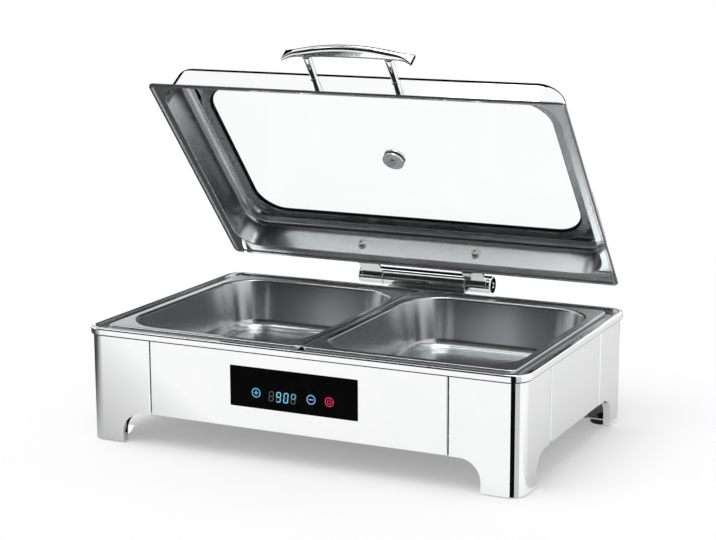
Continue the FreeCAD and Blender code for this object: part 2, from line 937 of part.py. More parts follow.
def make_element_clamps():
    """Bridges that press the tube rows to the plate."""
    t = clamp_sheet
    low = heater_under - 2 * tube_radius - t
    reach = 1.5 * tube_row_pitch + tube_radius + 6
    shape = [
        (-reach - clamp_foot, heater_under, 0),
        (-reach - clamp_foot, heater_under - t, 0),
        (-reach - t, heater_under - t, 1.0),
        (-reach - t, low, 2.0),
        (reach + t, low, 2.0),
        (reach + t, heater_under - t, 1.0),
        (reach + clamp_foot, heater_under - t, 0),
        (reach + clamp_foot, heater_under, 0),
        (reach, heater_under, 1.5),
        (reach, low + t, 0.5),
        (-reach, low + t, 0.5),
        (-reach, heater_under, 1.5),
    ]
    return [
        prism(shape, upright_y(k * clamp_pitch - clamp_width / 2), V(clamp_width, 0, 0))
        for k in (-1, 0, 1)
    ]


def make_heater_standoffs():
    x = heater_length / 2 - standoff_inset
    y = heater_depth / 2 - standoff_inset
    places = [(sx * x, sy * y) for sx in (-1, 1) for sy in (-1, 1)]
    return [rod(standoff_radius, V(px, py, tray_top), V(px, py, heater_under)) for px, py in places]


def make_heat_reflector():
    x = heater_length / 2 - reflector_margin_x
    y = heater_depth / 2 - reflector_margin_y
    t = reflector_sheet
    z = tray_top
    floor = plate(-x, x, -y, y, 8, z, z + t)
    lip = ring(rectangle(-t, 0, z, z + reflector_lip), -x, x, -y, y, 8)
    return joined([floor, lip])


def make_temperature_probe():
    z = heater_under - probe_radius
    bulb = rod(probe_radius, V(probe_x - probe_length / 2, 0, z), V(probe_x + probe_length / 2, 0, z))
    tab = block(probe_x - 4, probe_x + 4, -9, 9, heater_under - 1, heater_under)
    return joined([bulb, tab])


def make_thermal_cutout():
    z = heater_under
    body = rod(cutout_radius, V(cutout_x, 0, z), V(cutout_x, 0, z - cutout_height))
    ear = block(
        cutout_x - cutout_ear_width / 2,
        cutout_x + cutout_ear_width / 2,
        -cutout_ear_length / 2,
        cutout_ear_length / 2,
        z - 1,
        z,
    )
    low = z - cutout_height - cutout_tag_length
    tags = []
    for side in (-1, 1):
        y = side * lead_lane
        tags.append(block(cutout_x - 3, cutout_x + 3, y - 0.4, y + 0.4, low, z - cutout_height + 0.5))
    return joined([body, ear] + tags)


# Control panel

def make_control_fascia():
    x = fascia_length / 2
    shape = rectangle(-x, x, fascia_bottom, fascia_bottom + fascia_height, fascia_radius)
    return prism(shape, upright_x(-half_depth - fascia_proud), V(0, fascia_proud + body_sheet, 0))


def make_control_housing():
    m = housing_margin
    x = fascia_length / 2 + m
    low = fascia_bottom - m
    high = fascia_bottom + fascia_height + m
    front = -panel_inside
    f = housing_flange
    ft = housing_flange_thickness
    flange = prism(rectangle(-x - f, x + f, low, high, 3), upright_x(front), V(0, ft, 0))
    body = prism(rectangle(-x, x, low, high, 3), upright_x(front), V(0, housing_depth, 0))
    w = housing_wall
    room_edge = rectangle(-x + w, x - w, low + w, high - w, 2)
    room = prism(room_edge, upright_x(front + ft), V(0, housing_depth - w - ft, 0))
    mx = fascia_length / 2 - fascia_ledge
    mouth_top = fascia_bottom + fascia_height - fascia_ledge
    mouth_edge = rectangle(-mx, mx, fascia_bottom + fascia_ledge, mouth_top, 1)
    mouth = prism(mouth_edge, upright_x(front - 1), V(0, ft + 2, 0))
    holes = [rod(stud_radius + screw_clearance, p - V(0, 1, 0), p + V(0, 4, 0)) for p in stud_places()]
    entry = control_entry()
    holes.append(rod(lead_radius + 0.5, entry - V(0, w + 1, 0), entry + V(0, 1, 0)))
    shell = joined([flange, body]).cut(Part.makeCompound([room, mouth] + holes)).Solids[0]
    back = front + housing_depth - w
    board_back = board_front() + board_thickness
    bosses = []
    for p in board_corner_places():
        bosses.append(rod(boss_radius, V(p.x, board_back, p.z), V(p.x, back + w / 2, p.z)))
    return joined([shell] + bosses)


def board_front():
    return -panel_inside + touch_gap


def board_middle():
    return fascia_bottom + fascia_height / 2


def board_corner_places():
    x = control_board_length / 2 - boss_inset
    z = control_board_height / 2 - boss_inset
    return [V(sx * x, 0, board_middle() + sz * z) for sx in (-1, 1) for sz in (-1, 1)]


def make_housing_nuts():
    nuts = []
    for p in stud_places():
        start = p + V(0, housing_flange_thickness, 0)
        nut = hexagon(stud_nut_flats, stud_nut_height, start, V(0, 1, 0))
        nuts.append(nut.cut(rod(stud_radius, start - V(0, 1, 0), start + V(0, 6, 0))))
    return nuts


def make_control_board():
    x = control_board_length / 2
    z = control_board_height / 2
    shape = rectangle(-x, x, board_middle() - z, board_middle() + z, 1.5)
    return prism(shape, upright_x(board_front()), V(0, board_thickness, 0))


def make_display_module():
    front = -panel_inside + display_gap
    right = display_left + display_length
    return block(display_left, right, front, board_front(), display_bottom, display_bottom + display_height)


def make_touch_springs():
    springs = []
    for x in touch_places:
        start = V(x, -panel_inside, touch_height)
        end = V(x, board_front(), touch_height)
        bore = rod(touch_radius - touch_wall, start - V(0, 1, 0), end + V(0, 1, 0))
        springs.append(rod(touch_radius, start, end).cut(bore))
    return springs


# Power board

def power_board_front():
    """Face of the power board that looks into the base."""
    return panel_inside - power_board_offset - board_thickness


def make_power_board():
    x = power_board_length / 2
    top = power_board_bottom + power_board_height
    shape = rectangle(power_board_x - x, power_board_x + x, power_board_bottom, top, 1.5)
    return prism(shape, upright_x(power_board_front()), V(0, board_thickness, 0))


def make_transformer():
    y = power_board_front()
    x = power_board_x - power_board_length / 4
    z = power_board_bottom + power_board_height / 2
    h = transformer_size / 2
    return block(x - h, x + h, y - transformer_height, y, z - h, z + h)


def make_power_relay():
    y = power_board_front()
    x = power_board_x + power_board_length / 4
    z = power_board_bottom + power_board_height / 2
    w = relay_width / 2
    h = relay_length / 2
    return block(x - w, x + w, y - relay_height, y, z - h, z + h)


# Power inlet

def inlet_pin_blocks():
    """The three contact blades: line, neutral and the longer earth above them."""
    back = half_depth - inlet_body_depth - inlet_pin_back
    tip = half_depth - inlet_pin_short
    w = inlet_pin_width / 2
    h = inlet_pin_height / 2
    blades = []
    for x, z, longer in (
        (inlet_x - inlet_pin_pitch / 2, inlet_z - inlet_line_drop, 0),
        (inlet_x + inlet_pin_pitch / 2, inlet_z - inlet_line_drop, 0),
        (inlet_x, inlet_z + inlet_earth_rise, 2),
    ):
        blades.append(block(x - w, x + w, back, tip + longer, z - h, z + h))
    return blades


def make_inlet_socket():
    y = half_depth
    body_edge = inlet_outline(inlet_body_length, inlet_body_height, inlet_radius)
    body = prism(body_edge, upright_x(y), V(0, -inlet_body_depth, 0))
    flange_edge = inlet_outline(inlet_flange_length, inlet_flange_height, 6)
    flange = prism(flange_edge, upright_x(y), V(0, inlet_flange_thickness, 0))
    hx = inlet_body_length / 2 - inlet_wall
    hz = inlet_body_height / 2 - inlet_wall
    cant = inlet_recess_cant
    recess_edge = [
        (inlet_x - hx, inlet_z - hz, 1),
        (inlet_x + hx, inlet_z - hz, 1),
        (inlet_x + hx, inlet_z + hz - cant, 1),
        (inlet_x + hx - cant, inlet_z + hz, 1),
        (inlet_x - hx + cant, inlet_z + hz, 1),
        (inlet_x - hx, inlet_z + hz - cant, 1),
    ]
    mouth = y + inlet_flange_thickness + 1
    recess = prism(recess_edge, upright_x(mouth), V(0, y - inlet_recess_depth - mouth, 0))
    radius = inlet_screw_radius + screw_clearance
    holes = [rod(radius, p + V(0, 1, 0), p - V(0, 12, 0)) for p in inlet_screw_places()]
    return joined([body, flange]).cut(Part.makeCompound([recess] + holes + inlet_pin_blocks())).Solids[0]


def make_inlet_screws():
    length = inlet_flange_thickness + body_sheet + 4
    size = (inlet_screw_radius, length, inlet_screw_head, inlet_screw_head_height)
    return [pan_head_screw(*size, p, V(0, 1, 0)) for p in inlet_screw_places()]


# Hinge, base side

def make_hinge_bracket():
    """Bent strap from the rear panel out under the barrel."""
    t = bracket_sheet
    y = half_depth
    under = hinge_z - barrel_radius + 0.6
    back = hinge_y + t / 2
    shape = [
        (y, bracket_bottom, 0),
        (y + t, bracket_bottom, 0),
        (y + t, bracket_shelf - t, bracket_bend),
        (back, bracket_shelf - t, bracket_bend + t),
        (back, under, 0),
        (back - t, under, 0),
        (back - t, bracket_shelf, bracket_bend),
        (y, bracket_shelf, bracket_bend + t),
    ]
    strap = prism(shape, upright_y(-bracket_half_width), V(2 * bracket_half_width, 0, 0))
    radius = seam_screw_radius + screw_clearance
    holes = [rod(radius, p + V(0, 1, 0), p - V(0, 6, 0)) for p in bracket_screw_places()]
    end = V(barrel_half_length, 0, 0)
    barrel = rod(barrel_radius, V(0, hinge_y, hinge_z) - end, V(0, hinge_y, hinge_z) + end)
    return strap.cut(Part.makeCompound(holes + [barrel])).Solids[0]


def make_bracket_screws():
    length = bracket_sheet + body_sheet + clinch_height + 1
    return [sheet_screw(length, p, V(0, 1, 0)) for p in bracket_screw_places()]


def tube(outer, inner, x0, x1, edge_round):
    shape = [(inner, 0, 0), (outer, 0, edge_round), (outer, x1 - x0, edge_round), (inner, x1 - x0, 0)]
    return turned(shape, V(x0, hinge_y, hinge_z), V(1, 0, 0))


def make_hinge_barrel():
    return tube(barrel_radius, barrel_bore_radius, -barrel_half_length, barrel_half_length, 0.5)


def make_hinge_damper():
    end = barrel_half_length - damper_inset
    return tube(barrel_bore_radius, shaft_radius + shaft_clearance, -end, end, 0)


# Hinge, lid side

def make_hinge_shaft():
    return rod(shaft_radius, V(-knuckle_end, hinge_y, hinge_z), V(knuckle_end, hinge_y, hinge_z))


def rear_wall_y(z):
    """Outside of the lid's rear wall at height z."""
    return fold_rear + wall_run - (z - flange_under) * draft_slope


def make_right_arm():
    low = flange_top + lid_hem_height - flange_rise - lid_sheet + arm_gap
    high = low + arm_sheet
    w = arm_wall_sheet
    shape = [
        (rear_wall_y(low), low, 0),
        (hinge_y - barrel_radius / 2, low, 0),
        (hinge_y - barrel_radius / 2, high, 0),
        (rear_wall_y(high) + w, high, 3),
        (rear_wall_y(arm_top) + w, arm_top, 0),
        (rear_wall_y(arm_top), arm_top, 0),
    ]
    start = barrel_half_length + knuckle_gap
    strap = prism(shape, upright_y(start), V(knuckle_end - start, 0, 0))
    knuckle = tube(barrel_radius, shaft_radius, start, knuckle_end, 0.5)
    shaft = rod(shaft_radius, V(start - 1, hinge_y, hinge_z), V(knuckle_end + 1, hinge_y, hinge_z))
    arm = joined([strap, knuckle]).cut(shaft)
    return arm.cut(lid_bolt_hole(1)).Solids[0]


def make_end_caps():
    shape = [
        (0, 0, 0),
        (barrel_radius, 0, 0.4),
        (barrel_radius, cap_thickness, cap_round),
        (barrel_radius * 0.35, cap_thickness, 0),
        (barrel_radius * 0.35, cap_thickness - 0.8, 0),
        (0, cap_thickness - 0.8, 0),
    ]
    cap = turned(shape, V(knuckle_end, hinge_y, hinge_z), V(1, 0, 0))
    return [cap, mirrored(cap, V(1, 0, 0))]


def on_rear_wall(shape, x, height):
    """Carry a shape drawn about +Y at the origin to the outside of the lid's rear wall."""
    z = flange_under + height
    turn = FreeCAD.Rotation(V(1, 0, 0), draft_angle)
    shape = shape.copy()
    shape.Placement = FreeCAD.Placement(V(x, rear_wall_y(z), z), turn).multiply(shape.Placement)
    return shape


def front_wall_y(z):
    """Outside of the lid's front wall at height z."""
    return fold_front - wall_run + (z - flange_under) * draft_slope


def on_front_wall(shape, x, height):
    """Carry a shape drawn about +Y at the origin to the outside of the lid's front wall."""
    z = flange_under + height
    turn = FreeCAD.Rotation(V(1, 0, 0), -draft_angle).multiply(FreeCAD.Rotation(V(0, 0, 1), 180))
    shape = shape.copy()
    shape.Placement = FreeCAD.Placement(V(x, front_wall_y(z), z), turn).multiply(shape.Placement)
    return shape


def lid_bolt_hole(side):
    hole = rod(lid_bolt_radius + screw_clearance, V(0, -6, 0), V(0, 12, 0))
    return on_rear_wall(hole, side * lid_bolt_x, lid_bolt_height)


def make_lid_bolts():
    bolts = []
    length = lid_sheet + arm_wall_sheet + lid_nut_height + washer_height + 2
    seat = V(0, -lid_sheet - washer_height, 0)
    bolt = pan_head_screw(lid_bolt_radius, length, lid_bolt_head, lid_bolt_head_height, seat, V(0, -1, 0))
    socket = hexagon(2 * lid_bolt_socket, 3, seat - V(0, lid_bolt_head_height + 1, 0), V(0, 1, 0))
    bolt = bolt.cut(socket)
    for side in (-1, 1):
        bolts.append(on_rear_wall(bolt, side * lid_bolt_x, lid_bolt_height))
    return bolts


def make_lid_bolt_washers():
    shape = [
        (lid_bolt_radius, 0, 0),
        (washer_radius, 0, 0),
        (washer_radius, washer_height, 0.5),
        (lid_bolt_radius, washer_height, 0),
    ]
    washer = turned(shape, V(0, -lid_sheet, 0), V(0, -1, 0))
    return [on_rear_wall(washer, side * lid_bolt_x, lid_bolt_height) for side in (-1, 1)]


def make_lid_bolt_nuts():
    nut = hexagon(lid_nut_flats, lid_nut_height, V(0, arm_wall_sheet, 0), V(0, 1, 0))
    nut = nut.cut(rod(lid_bolt_radius, V(0, -5, 0), V(0, 20, 0)))
    return [on_rear_wall(nut, side * lid_bolt_x, lid_bolt_height) for side in (-1, 1)]


# Lid

def make_lid_shell():
    t = lid_sheet
    d = dome_draft
    lean = wall_run - lid_sheet * draft_slope
    stub = flange_front - 2.5
    run = d + shoulder_width
    end = run + step_run + 5.5
    profile = [
        (stub, flange_under, 0),
        (0, flange_under, 1.0),
        (-d, shoulder_under, shoulder_fillet - t),
        (-run, shoulder_under, 1.5),
        (-run - step_run, frame_under, 1.5),
        (-end, frame_under, 0),
        (-end, frame_top, 0),
        (-run - step_run + 0.5, frame_top, 2.5),
        (-run + 0.5, shoulder_under + t, 0.8),
        (-d + lean, shoulder_under + t, shoulder_fillet),
        (lean, flange_top, 1.5),
        (stub, flange_top, 0),
    ]
    dome = ring(profile, -fold_x, fold_x, fold_front, fold_rear, dome_corner_radius)
    x = lid_length / 2

    def dome_plan(grow, low, high):
        edges = (-fold_x - grow, fold_x + grow, fold_front - grow, fold_rear + grow)
        return plate(*edges, dome_corner_radius + grow, low, high)

    inset = lid_hem_width / 2
    edges = (-x + inset, x - inset, lid_front_edge + inset, lid_rear_edge - inset)
    flange = plate(*edges, lid_corner_radius - inset, flange_under, flange_top)
    flange = flange.cut(dome_plan(stub - 0.5, 0, frame_top))
    w = lid_hem_width
    low = lid_under
    high = lid_under + lid_hem_height
    hem = [(0, low, lid_hem_round), (0, high, lid_hem_round), (-w, high, 0.8), (-w, low, lid_hem_round)]
    hem = ring(hem, -x, x, lid_front_edge, lid_rear_edge, lid_corner_radius)
    hem = hem.cut(dome_plan(0, 0, frame_top))
    frame = dome_plan(0.5 - end, frame_under, frame_top)
    shell = joined([dome, flange, hem, frame])
    wx = window_length / 2
    window = plate(-wx, wx, window_front, window_rear, window_radius, frame_under - 1, frame_top + 1)
    holes = [window, lid_bolt_hole(1), lid_bolt_hole(-1)]
    screw_hole = rod(handle_screw_radius + screw_clearance, V(0, -6, 0), V(0, 1, 0))
    for side in (-1, 1):
        holes.append(on_front_wall(screw_hole, side * handle_post_pitch / 2, handle_height))
    return shell.cut(Part.makeCompound(holes)).Solids[0]


def window_ring(outwards0, outwards1, z0, z1):
    """Flat ring that follows the window's edge between two distances from it."""
    def disc(grow, low, high):
        x = window_length / 2 + grow
        return plate(-x, x, window_front - grow, window_rear + grow, window_radius + grow, low, high)
    return disc(outwards1, z0, z1).cut(disc(outwards0, z0 - 1, z1 + 1)).Solids[0]


def make_glass_gasket():
    """Soft channel round the glass edge; its lips show as the window's dark line."""
    low = glass_under - gasket_skin
    outer = glass_margin + gasket_wall
    body = window_ring(glass_margin, outer, low, frame_under)
    top = window_ring(-gasket_lip, outer, glass_top, frame_under)
    bottom = window_ring(glass_margin - gasket_grip, outer, low, glass_under)
    return joined([body, top, bottom])


def make_window_glass():
    x = window_length / 2 + glass_margin
    r = window_radius + glass_margin
    sheet = plate(-x, x, window_front - glass_margin, window_rear + glass_margin, r, glass_under, glass_top)
    return sheet.cut(rod(vent_hole_radius, V(0, vent_y, glass_under - 1), V(0, vent_y, glass_top + 1)))


def make_glass_retainer():
    """Pressed ring under the shoulder that carries the glass and its gasket."""
    top = glass_under - gasket_skin
    low = top - retainer_sheet
    outer = glass_margin + gasket_wall + retainer_outer
    body = window_ring(retainer_inner, outer, low, top)
    middle = retainer_rib_place
    rib = window_ring(middle - retainer_rib, middle + retainer_rib, low - retainer_rib, low)
    return joined([body, rib])


def vent_ports(turn):
    ports = []
    for k in range(vent_port_count):
        angle = math.radians(360 / vent_port_count * k + turn)
        x = vent_port_place * math.cos(angle)
        y = vent_y + vent_port_place * math.sin(angle)
        ports.append(rod(vent_port_radius, V(x, y, 0), V(x, y, 2 * frame_top)))
    return Part.makeCompound(ports)


def make_vent_base():
    """Inner disc with its neck through the glass."""
    shape = [
        (vent_pivot_radius, -vent_disc, 0),
        (vent_radius, -vent_disc, vent_round),
        (vent_radius, 0, 0.3),
        (vent_neck_radius, 0, 0),
        (vent_neck_radius, glass_thickness, 0),
        (vent_pivot_radius, glass_thickness, 0),
    ]
    return turned(shape, V(0, vent_y, glass_under)).cut(vent_ports(0)).Solids[0]


def make_vent_shutter():
    """Outer disc that turns on the pivot to cover or clear the ports."""
    inner = vent_pivot_radius + shaft_clearance
    r = vent_radius
    shape = [(inner, 0, 0), (r, 0, 0.3), (r, vent_disc, vent_round), (inner, vent_disc, 0)]
    shutter = turned(shape, V(0, vent_y, glass_top + seat_gap))
    return shutter.cut(vent_ports(180 / vent_port_count)).Solids[0]


def make_vent_pivot():
    """Rivet through both discs, with a slotted head on the inside."""
    low = glass_under - vent_disc
    high = glass_top + seat_gap + vent_disc + seat_gap
    h = vent_pivot_head_height
    shape = [
        (0, low - h, 0),
        (vent_pivot_head, low - h, 0.8),
        (vent_pivot_head, low, 0),
        (vent_pivot_radius, low, 0),
        (vent_pivot_radius, high, 0),
        (vent_pivot_head, high, 0),
        (vent_pivot_head, high + h, 0.8),
        (0, high + h, 0),
    ]
    slot = block(-5, 5, vent_y - 0.4, vent_y + 0.4, low - h - 1, low - h + 0.7)
    return turned(shape, V(0, vent_y, 0)).cut(slot)


def make_handle_posts():
    shape = [
        (0, 0, 0),
        (post_flange_radius, 0, 0),
        (post_flange_radius, post_flange_height, 0.5),
        (post_foot_radius, post_flange_height, 0.8),
        (post_head_radius, handle_post_length, 0),
        (0, handle_post_length, 0),
    ]
    post = turned(shape, V(0, 0, 0), V(0, 1, 0))
    post = post.cut(rod(handle_screw_radius, V(0, -1, 0), V(0, handle_screw_length, 0)))
    return [on_front_wall(post, side * handle_post_pitch / 2, handle_height) for side in (-1, 1)]


def make_handle_bar():
    """Bow bar: flat behind, bowed in front, with wider tips that curl back a little."""
    def section(x):
        share = abs(x) / bar_half_length
        depth = bar_end_depth + (bar_middle_depth - bar_end_depth) * (1 - share**2)
        tip = max(0.0, (abs(x) - bar_half_length + bar_tip_length) / bar_tip_length)
        width = bar_width + (bar_tip_width - bar_width) * tip**1.5
        back = handle_post_length - bar_tip_curl * tip**2
        rise = bar_rise * (1 - share**2)
        r = 0.42 * min(depth, width)
        points = [
            (back, rise - width / 2, r),
            (back + depth, rise - width / 2, r),
            (back + depth, rise + width / 2, r),
            (back, rise + width / 2, r),
        ]
        return outline(points, upright_y(x))

    places = [-1.0, -0.95, -0.86, -0.7, -0.45, -0.2, 0.0, 0.2, 0.45, 0.7, 0.86, 0.95, 1.0]
    bar = Part.makeLoft([section(k * bar_half_length) for k in places], True, False)
    bar = on_front_wall(bar, 0, handle_height)
    posts = []
    for side in (-1, 1):
        head = rod(post_head_radius + 1, V(0, handle_post_length - 8, 0), V(0, handle_post_length, 0))
        posts.append(on_front_wall(head, side * handle_post_pitch / 2, handle_height))
    return bar.cut(Part.makeCompound(posts)).Solids[0]


def make_handle_screws():
    seat = V(0, -lid_sheet, 0)
    length = lid_sheet + handle_screw_length
    size = (handle_screw_radius, length, handle_screw_head, handle_screw_head_height)
    screw = pan_head_screw(*size, seat, V(0, -1, 0))
    return [on_front_wall(screw, side * handle_post_pitch / 2, handle_height) for side in (-1, 1)]


# Inner leads

def board_end(x):
    """Where a lead meets the face of the power board."""
    return V(x, power_board_front() - lead_end_gap, board_lead_height)


def make_supply_leads():
    """Line and neutral from the inlet to the power board, and earth down to the tray."""
    back = half_depth - inlet_body_depth - inlet_pin_back - lead_end_gap
    z = inlet_z - inlet_line_drop
    r = lead_radius
    rear = board_end(0).y - r
    leads = []
    for side in (-1, 1):
        x = inlet_x + side * inlet_pin_pitch / 2
        y = back - 15 - side * 3
        end_x = power_board_x + power_board_length / 2 - 5.5 - side * 2.5
        points = [
            (V(x, back, z), 0),
            (V(x, y, z), 7),
            (V(end_x, y, z), 9),
            (V(end_x, rear, z), 5),
            (V(end_x, rear, z + 14), 0),
        ]
        leads.append(lead(points, r))
    earth_y = back - 2 * r
    earth_z = inlet_z + inlet_earth_rise
    earth = [
        (V(inlet_x, back, earth_z), 0),
        (V(inlet_x, earth_y, earth_z), 2.5),
        (V(inlet_x, earth_y, tray_top + lead_end_gap), 0),
    ]
    leads.append(lead(earth, r))
    return leads


def make_element_lead(side):
    """From one end of the heating tube round the left of the heater to the power board."""
    z = tube_height()
    start_x = -tube_end - terminal_length - lead_end_gap
    start_y = side * 1.5 * tube_row_pitch
    lane_x = left_lead_x - 6.5 + side * 3.5
    lane_y = rear_lead_y - 3 - side * 3
    end = board_end(power_board_x - power_board_length / 2 + 8 + side * 4)
    points = [
        (V(start_x, start_y, z), 0),
        (V(lane_x, start_y, z), 6),
        (V(lane_x, lane_y, z), 16),
        (V(end.x, lane_y, z), 5),
        (V(end.x, lane_y, end.z), 5),
        (end, 0),
    ]
    return lead(points, lead_radius)


def make_sensor_lead(start, lane):
    """From the underside of the heater plate along the tray to the power board, in its own lane."""
    z = floor_lead_height
    lane_x = left_lead_x + lane * lead_lane
    lane_y = rear_lead_y - 8 - lane * lead_lane
    end = board_end(power_board_x - 18 + lane * lead_lane)
    points = [(start, 0)]
    if start.z > z + 1:
        points += [(V(start.x - 9, start.y, start.z), 3.4), (V(start.x - 9, start.y, z), 3.4)]
    points += [
        (V(lane_x, start.y, z), 14),
        (V(lane_x, lane_y, z), 14),
        (V(end.x, lane_y, z), 5),
        (V(end.x, lane_y, end.z), 5),
        (end, 0),
    ]
    return lead(points, thin_lead_radius)


def control_entry():
    """Where the control lead passes the back of the housing."""
    return V(-60, -panel_inside + housing_depth, board_middle() - control_board_height / 2 + 6)


def make_control_lead():
    """From the power board round the left of the heater to the control board."""
    z = floor_lead_height
    end = board_end(power_board_x - 8)
    entry = control_entry()
    lane_x = left_lead_x - 16
    front_y = entry.y + 3.4
    points = [
        (end, 0),
        (V(end.x, rear_lead_y, end.z), 4),
        (V(end.x, rear_lead_y, z), 6),
        (V(lane_x, rear_lead_y, z), 16),
        (V(lane_x, front_y, z), 16),
        (V(entry.x, front_y, z), 6),
        (V(entry.x, front_y, entry.z), 3),
        (V(entry.x, board_front() + board_thickness + lead_end_gap, entry.z), 0),
    ]
    return lead(points, lead_radius)


def make_board_leads():
    """Every lead that leaves the power board for the heater and for the control board."""
    tag_x = cutout_x - 3 - lead_end_gap
    probe_end = V(probe_x - probe_length / 2 - lead_end_gap, 0, heater_under - probe_radius)
    leads = [make_element_lead(-1), make_element_lead(1), make_control_lead(), make_sensor_lead(probe_end, 0)]
    for side in (-1, 1):
        leads.append(make_sensor_lead(V(tag_x, side * lead_lane, floor_lead_height), side))
    return leads


parts = {}


def keep(name, shape, on_lid=False):
    """Place a finished piece and write it; pieces of one node are a group of solids."""
    solids = []
    for one in shape if isinstance(shape, list) else [shape]:
        solids += one.Solids
    placed = []
    for solid in solids:
        solid = solid.copy()
        if on_lid:
            solid.rotate(V(0, hinge_y, hinge_z), V(1, 0, 0), -lid_open_angle)
        solid.translate(V(0, -centre_shift, 0))
        placed.append(solid)
    whole = placed[0] if len(placed) == 1 else Part.makeCompound(placed)
    if not whole.isValid():
        print("not valid:", name)
    parts[name] = whole
    whole.exportStep("parts/" + name + ".step")


os.makedirs("parts", exist_ok=True)

keep("top_frame", make_top_frame())
rear_right_leg = make_rear_right_leg()
keep("leg_rear_right", rear_right_leg)
keep("leg_rear_left", mirrored(rear_right_leg, V(1, 0, 0)))
keep("leg_front_right", mirrored(rear_right_leg, V(0, 1, 0)))
keep("leg_front_left", mirrored(mirrored(rear_right_leg, V(1, 0, 0)), V(0, 1, 0)))
keep("front_panel", make_front_panel())
keep("rear_panel", make_rear_panel())
right_panel = make_side_panel().cut(Part.makeCompound(seam_hole_set()))
keep("right_panel", right_panel)
keep("left_panel", mirrored(right_panel, V(1, 0, 0)))
keep("bottom_tray", make_bottom_tray())
keep("rubber_feet", make_rubber_feet())
keep("seam_screws", make_seam_screws())
keep("seam_nuts", make_seam_nuts())
keep("tray_screws", make_tray_screws())

keep("water_pan", make_water_pan())
keep("left_food_pan", make_food_pan(-1))
keep("right_food_pan", make_food_pan(1))

keep("heater_plate", make_heater_plate())
keep("heating_tube", make_heating_tube())
keep("element_terminals", make_element_terminals())
keep("element_clamps", make_element_clamps())
keep("heater_standoffs", make_heater_standoffs())
keep("heat_reflector", make_heat_reflector())
keep("temperature_probe", make_temperature_probe())
keep("thermal_cutout", make_thermal_cutout())

keep("control_fascia", make_control_fascia())
keep("control_housing", make_control_housing())
keep("housing_nuts", make_housing_nuts())
keep("control_board", make_control_board())
keep("display_module", make_display_module())
keep("touch_springs", make_touch_springs())
keep("power_board", make_power_board())
keep("transformer", make_transformer())
keep("power_relay", make_power_relay())
keep("inlet_socket", make_inlet_socket())
keep("inlet_pins", inlet_pin_blocks())
keep("inlet_screws", make_inlet_screws())
keep("supply_leads", make_supply_leads())
keep("board_leads", make_board_leads())

keep("hinge_bracket", make_hinge_bracket())
keep("bracket_screws", make_bracket_screws())
keep("hinge_barrel", make_hinge_barrel())
keep("hinge_damper", make_hinge_damper())

right_arm = make_right_arm()
keep("hinge_shaft", make_hinge_shaft(), True)
keep("right_lid_arm", right_arm, True)
keep("left_lid_arm", mirrored(right_arm, V(1, 0, 0)), True)
keep("hinge_end_caps", make_end_caps(), True)
keep("lid_bolts", make_lid_bolts(), True)
keep("lid_bolt_washers", make_lid_bolt_washers(), True)
keep("lid_bolt_nuts", make_lid_bolt_nuts(), True)
keep("lid_shell", make_lid_shell(), True)
keep("glass_gasket", make_glass_gasket(), True)
keep("window_glass", make_window_glass(), True)
keep("glass_retainer", make_glass_retainer(), True)
keep("vent_base", make_vent_base(), True)
keep("vent_shutter", make_vent_shutter(), True)
keep("vent_pivot", make_vent_pivot(), True)
keep("handle_bar", make_handle_bar(), True)
keep("handle_posts", make_handle_posts(), True)
keep("handle_screws", make_handle_screws(), True)
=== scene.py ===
import json
import math

import bmesh
import bpy
import numpy as np
from mathutils import Matrix, Vector


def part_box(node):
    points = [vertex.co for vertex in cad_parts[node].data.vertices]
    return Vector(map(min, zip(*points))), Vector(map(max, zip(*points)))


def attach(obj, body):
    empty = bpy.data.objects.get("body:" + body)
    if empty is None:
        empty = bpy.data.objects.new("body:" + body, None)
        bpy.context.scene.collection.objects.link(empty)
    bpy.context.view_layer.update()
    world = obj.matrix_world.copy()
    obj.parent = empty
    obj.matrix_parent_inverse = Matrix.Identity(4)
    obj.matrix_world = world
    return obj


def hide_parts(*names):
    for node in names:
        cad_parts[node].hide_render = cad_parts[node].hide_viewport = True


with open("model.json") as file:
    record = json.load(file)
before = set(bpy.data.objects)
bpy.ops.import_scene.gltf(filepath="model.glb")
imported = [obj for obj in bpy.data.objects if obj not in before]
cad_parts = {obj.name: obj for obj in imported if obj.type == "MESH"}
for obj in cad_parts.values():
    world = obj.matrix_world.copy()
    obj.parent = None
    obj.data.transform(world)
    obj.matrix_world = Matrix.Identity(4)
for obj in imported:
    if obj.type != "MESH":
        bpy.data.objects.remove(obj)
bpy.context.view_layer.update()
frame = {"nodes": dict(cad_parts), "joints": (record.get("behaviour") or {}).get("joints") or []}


# Top frame
# One ring of 1.2 mm stainless sheet, pressed with a rounded bead outside and a ledge inside for the pans.
# It is ground, buffed to a mirror and spot welded over the tops of the legs and panels.

def linear(hex_colour):
    """An sRGB hex colour as the linear colour that a shader takes."""
    parts = [int(hex_colour[k:k + 2], 16) / 255 for k in (1, 3, 5)]
    parts = [c / 12.92 if c <= 0.04045 else ((c + 0.055) / 1.055) ** 2.4 for c in parts]
    return (*parts, 1.0)


def add(tree, kind, sockets=None, **options):
    """Add one node to a tree, set its options, and fill its sockets with values or links.
    A Mix node of colours takes its factor at socket 0 and its two colours at sockets 6 and 7."""
    node = tree.nodes.new("ShaderNode" + kind)
    for name, value in options.items():
        setattr(node, name, value)
    for name, value in (sockets or {}).items():
        if isinstance(value, bpy.types.NodeSocket):
            tree.links.new(value, node.inputs[name])
        else:
            node.inputs[name].default_value = value
    return node


def finish(name, build):
    """A new material whose Principled shader takes the sockets that build(tree) works out."""
    material = bpy.data.materials.new(name)
    material.use_nodes = True
    tree = material.node_tree
    tree.nodes.clear()
    shader = add(tree, "BsdfPrincipled", build(tree))
    add(tree, "OutputMaterial", {"Surface": shader.outputs[0]})
    return material


def dress(material, *names):
    """Give CAD nodes their finish."""
    for name in names:
        frame["nodes"][name].material_slots[0].material = material


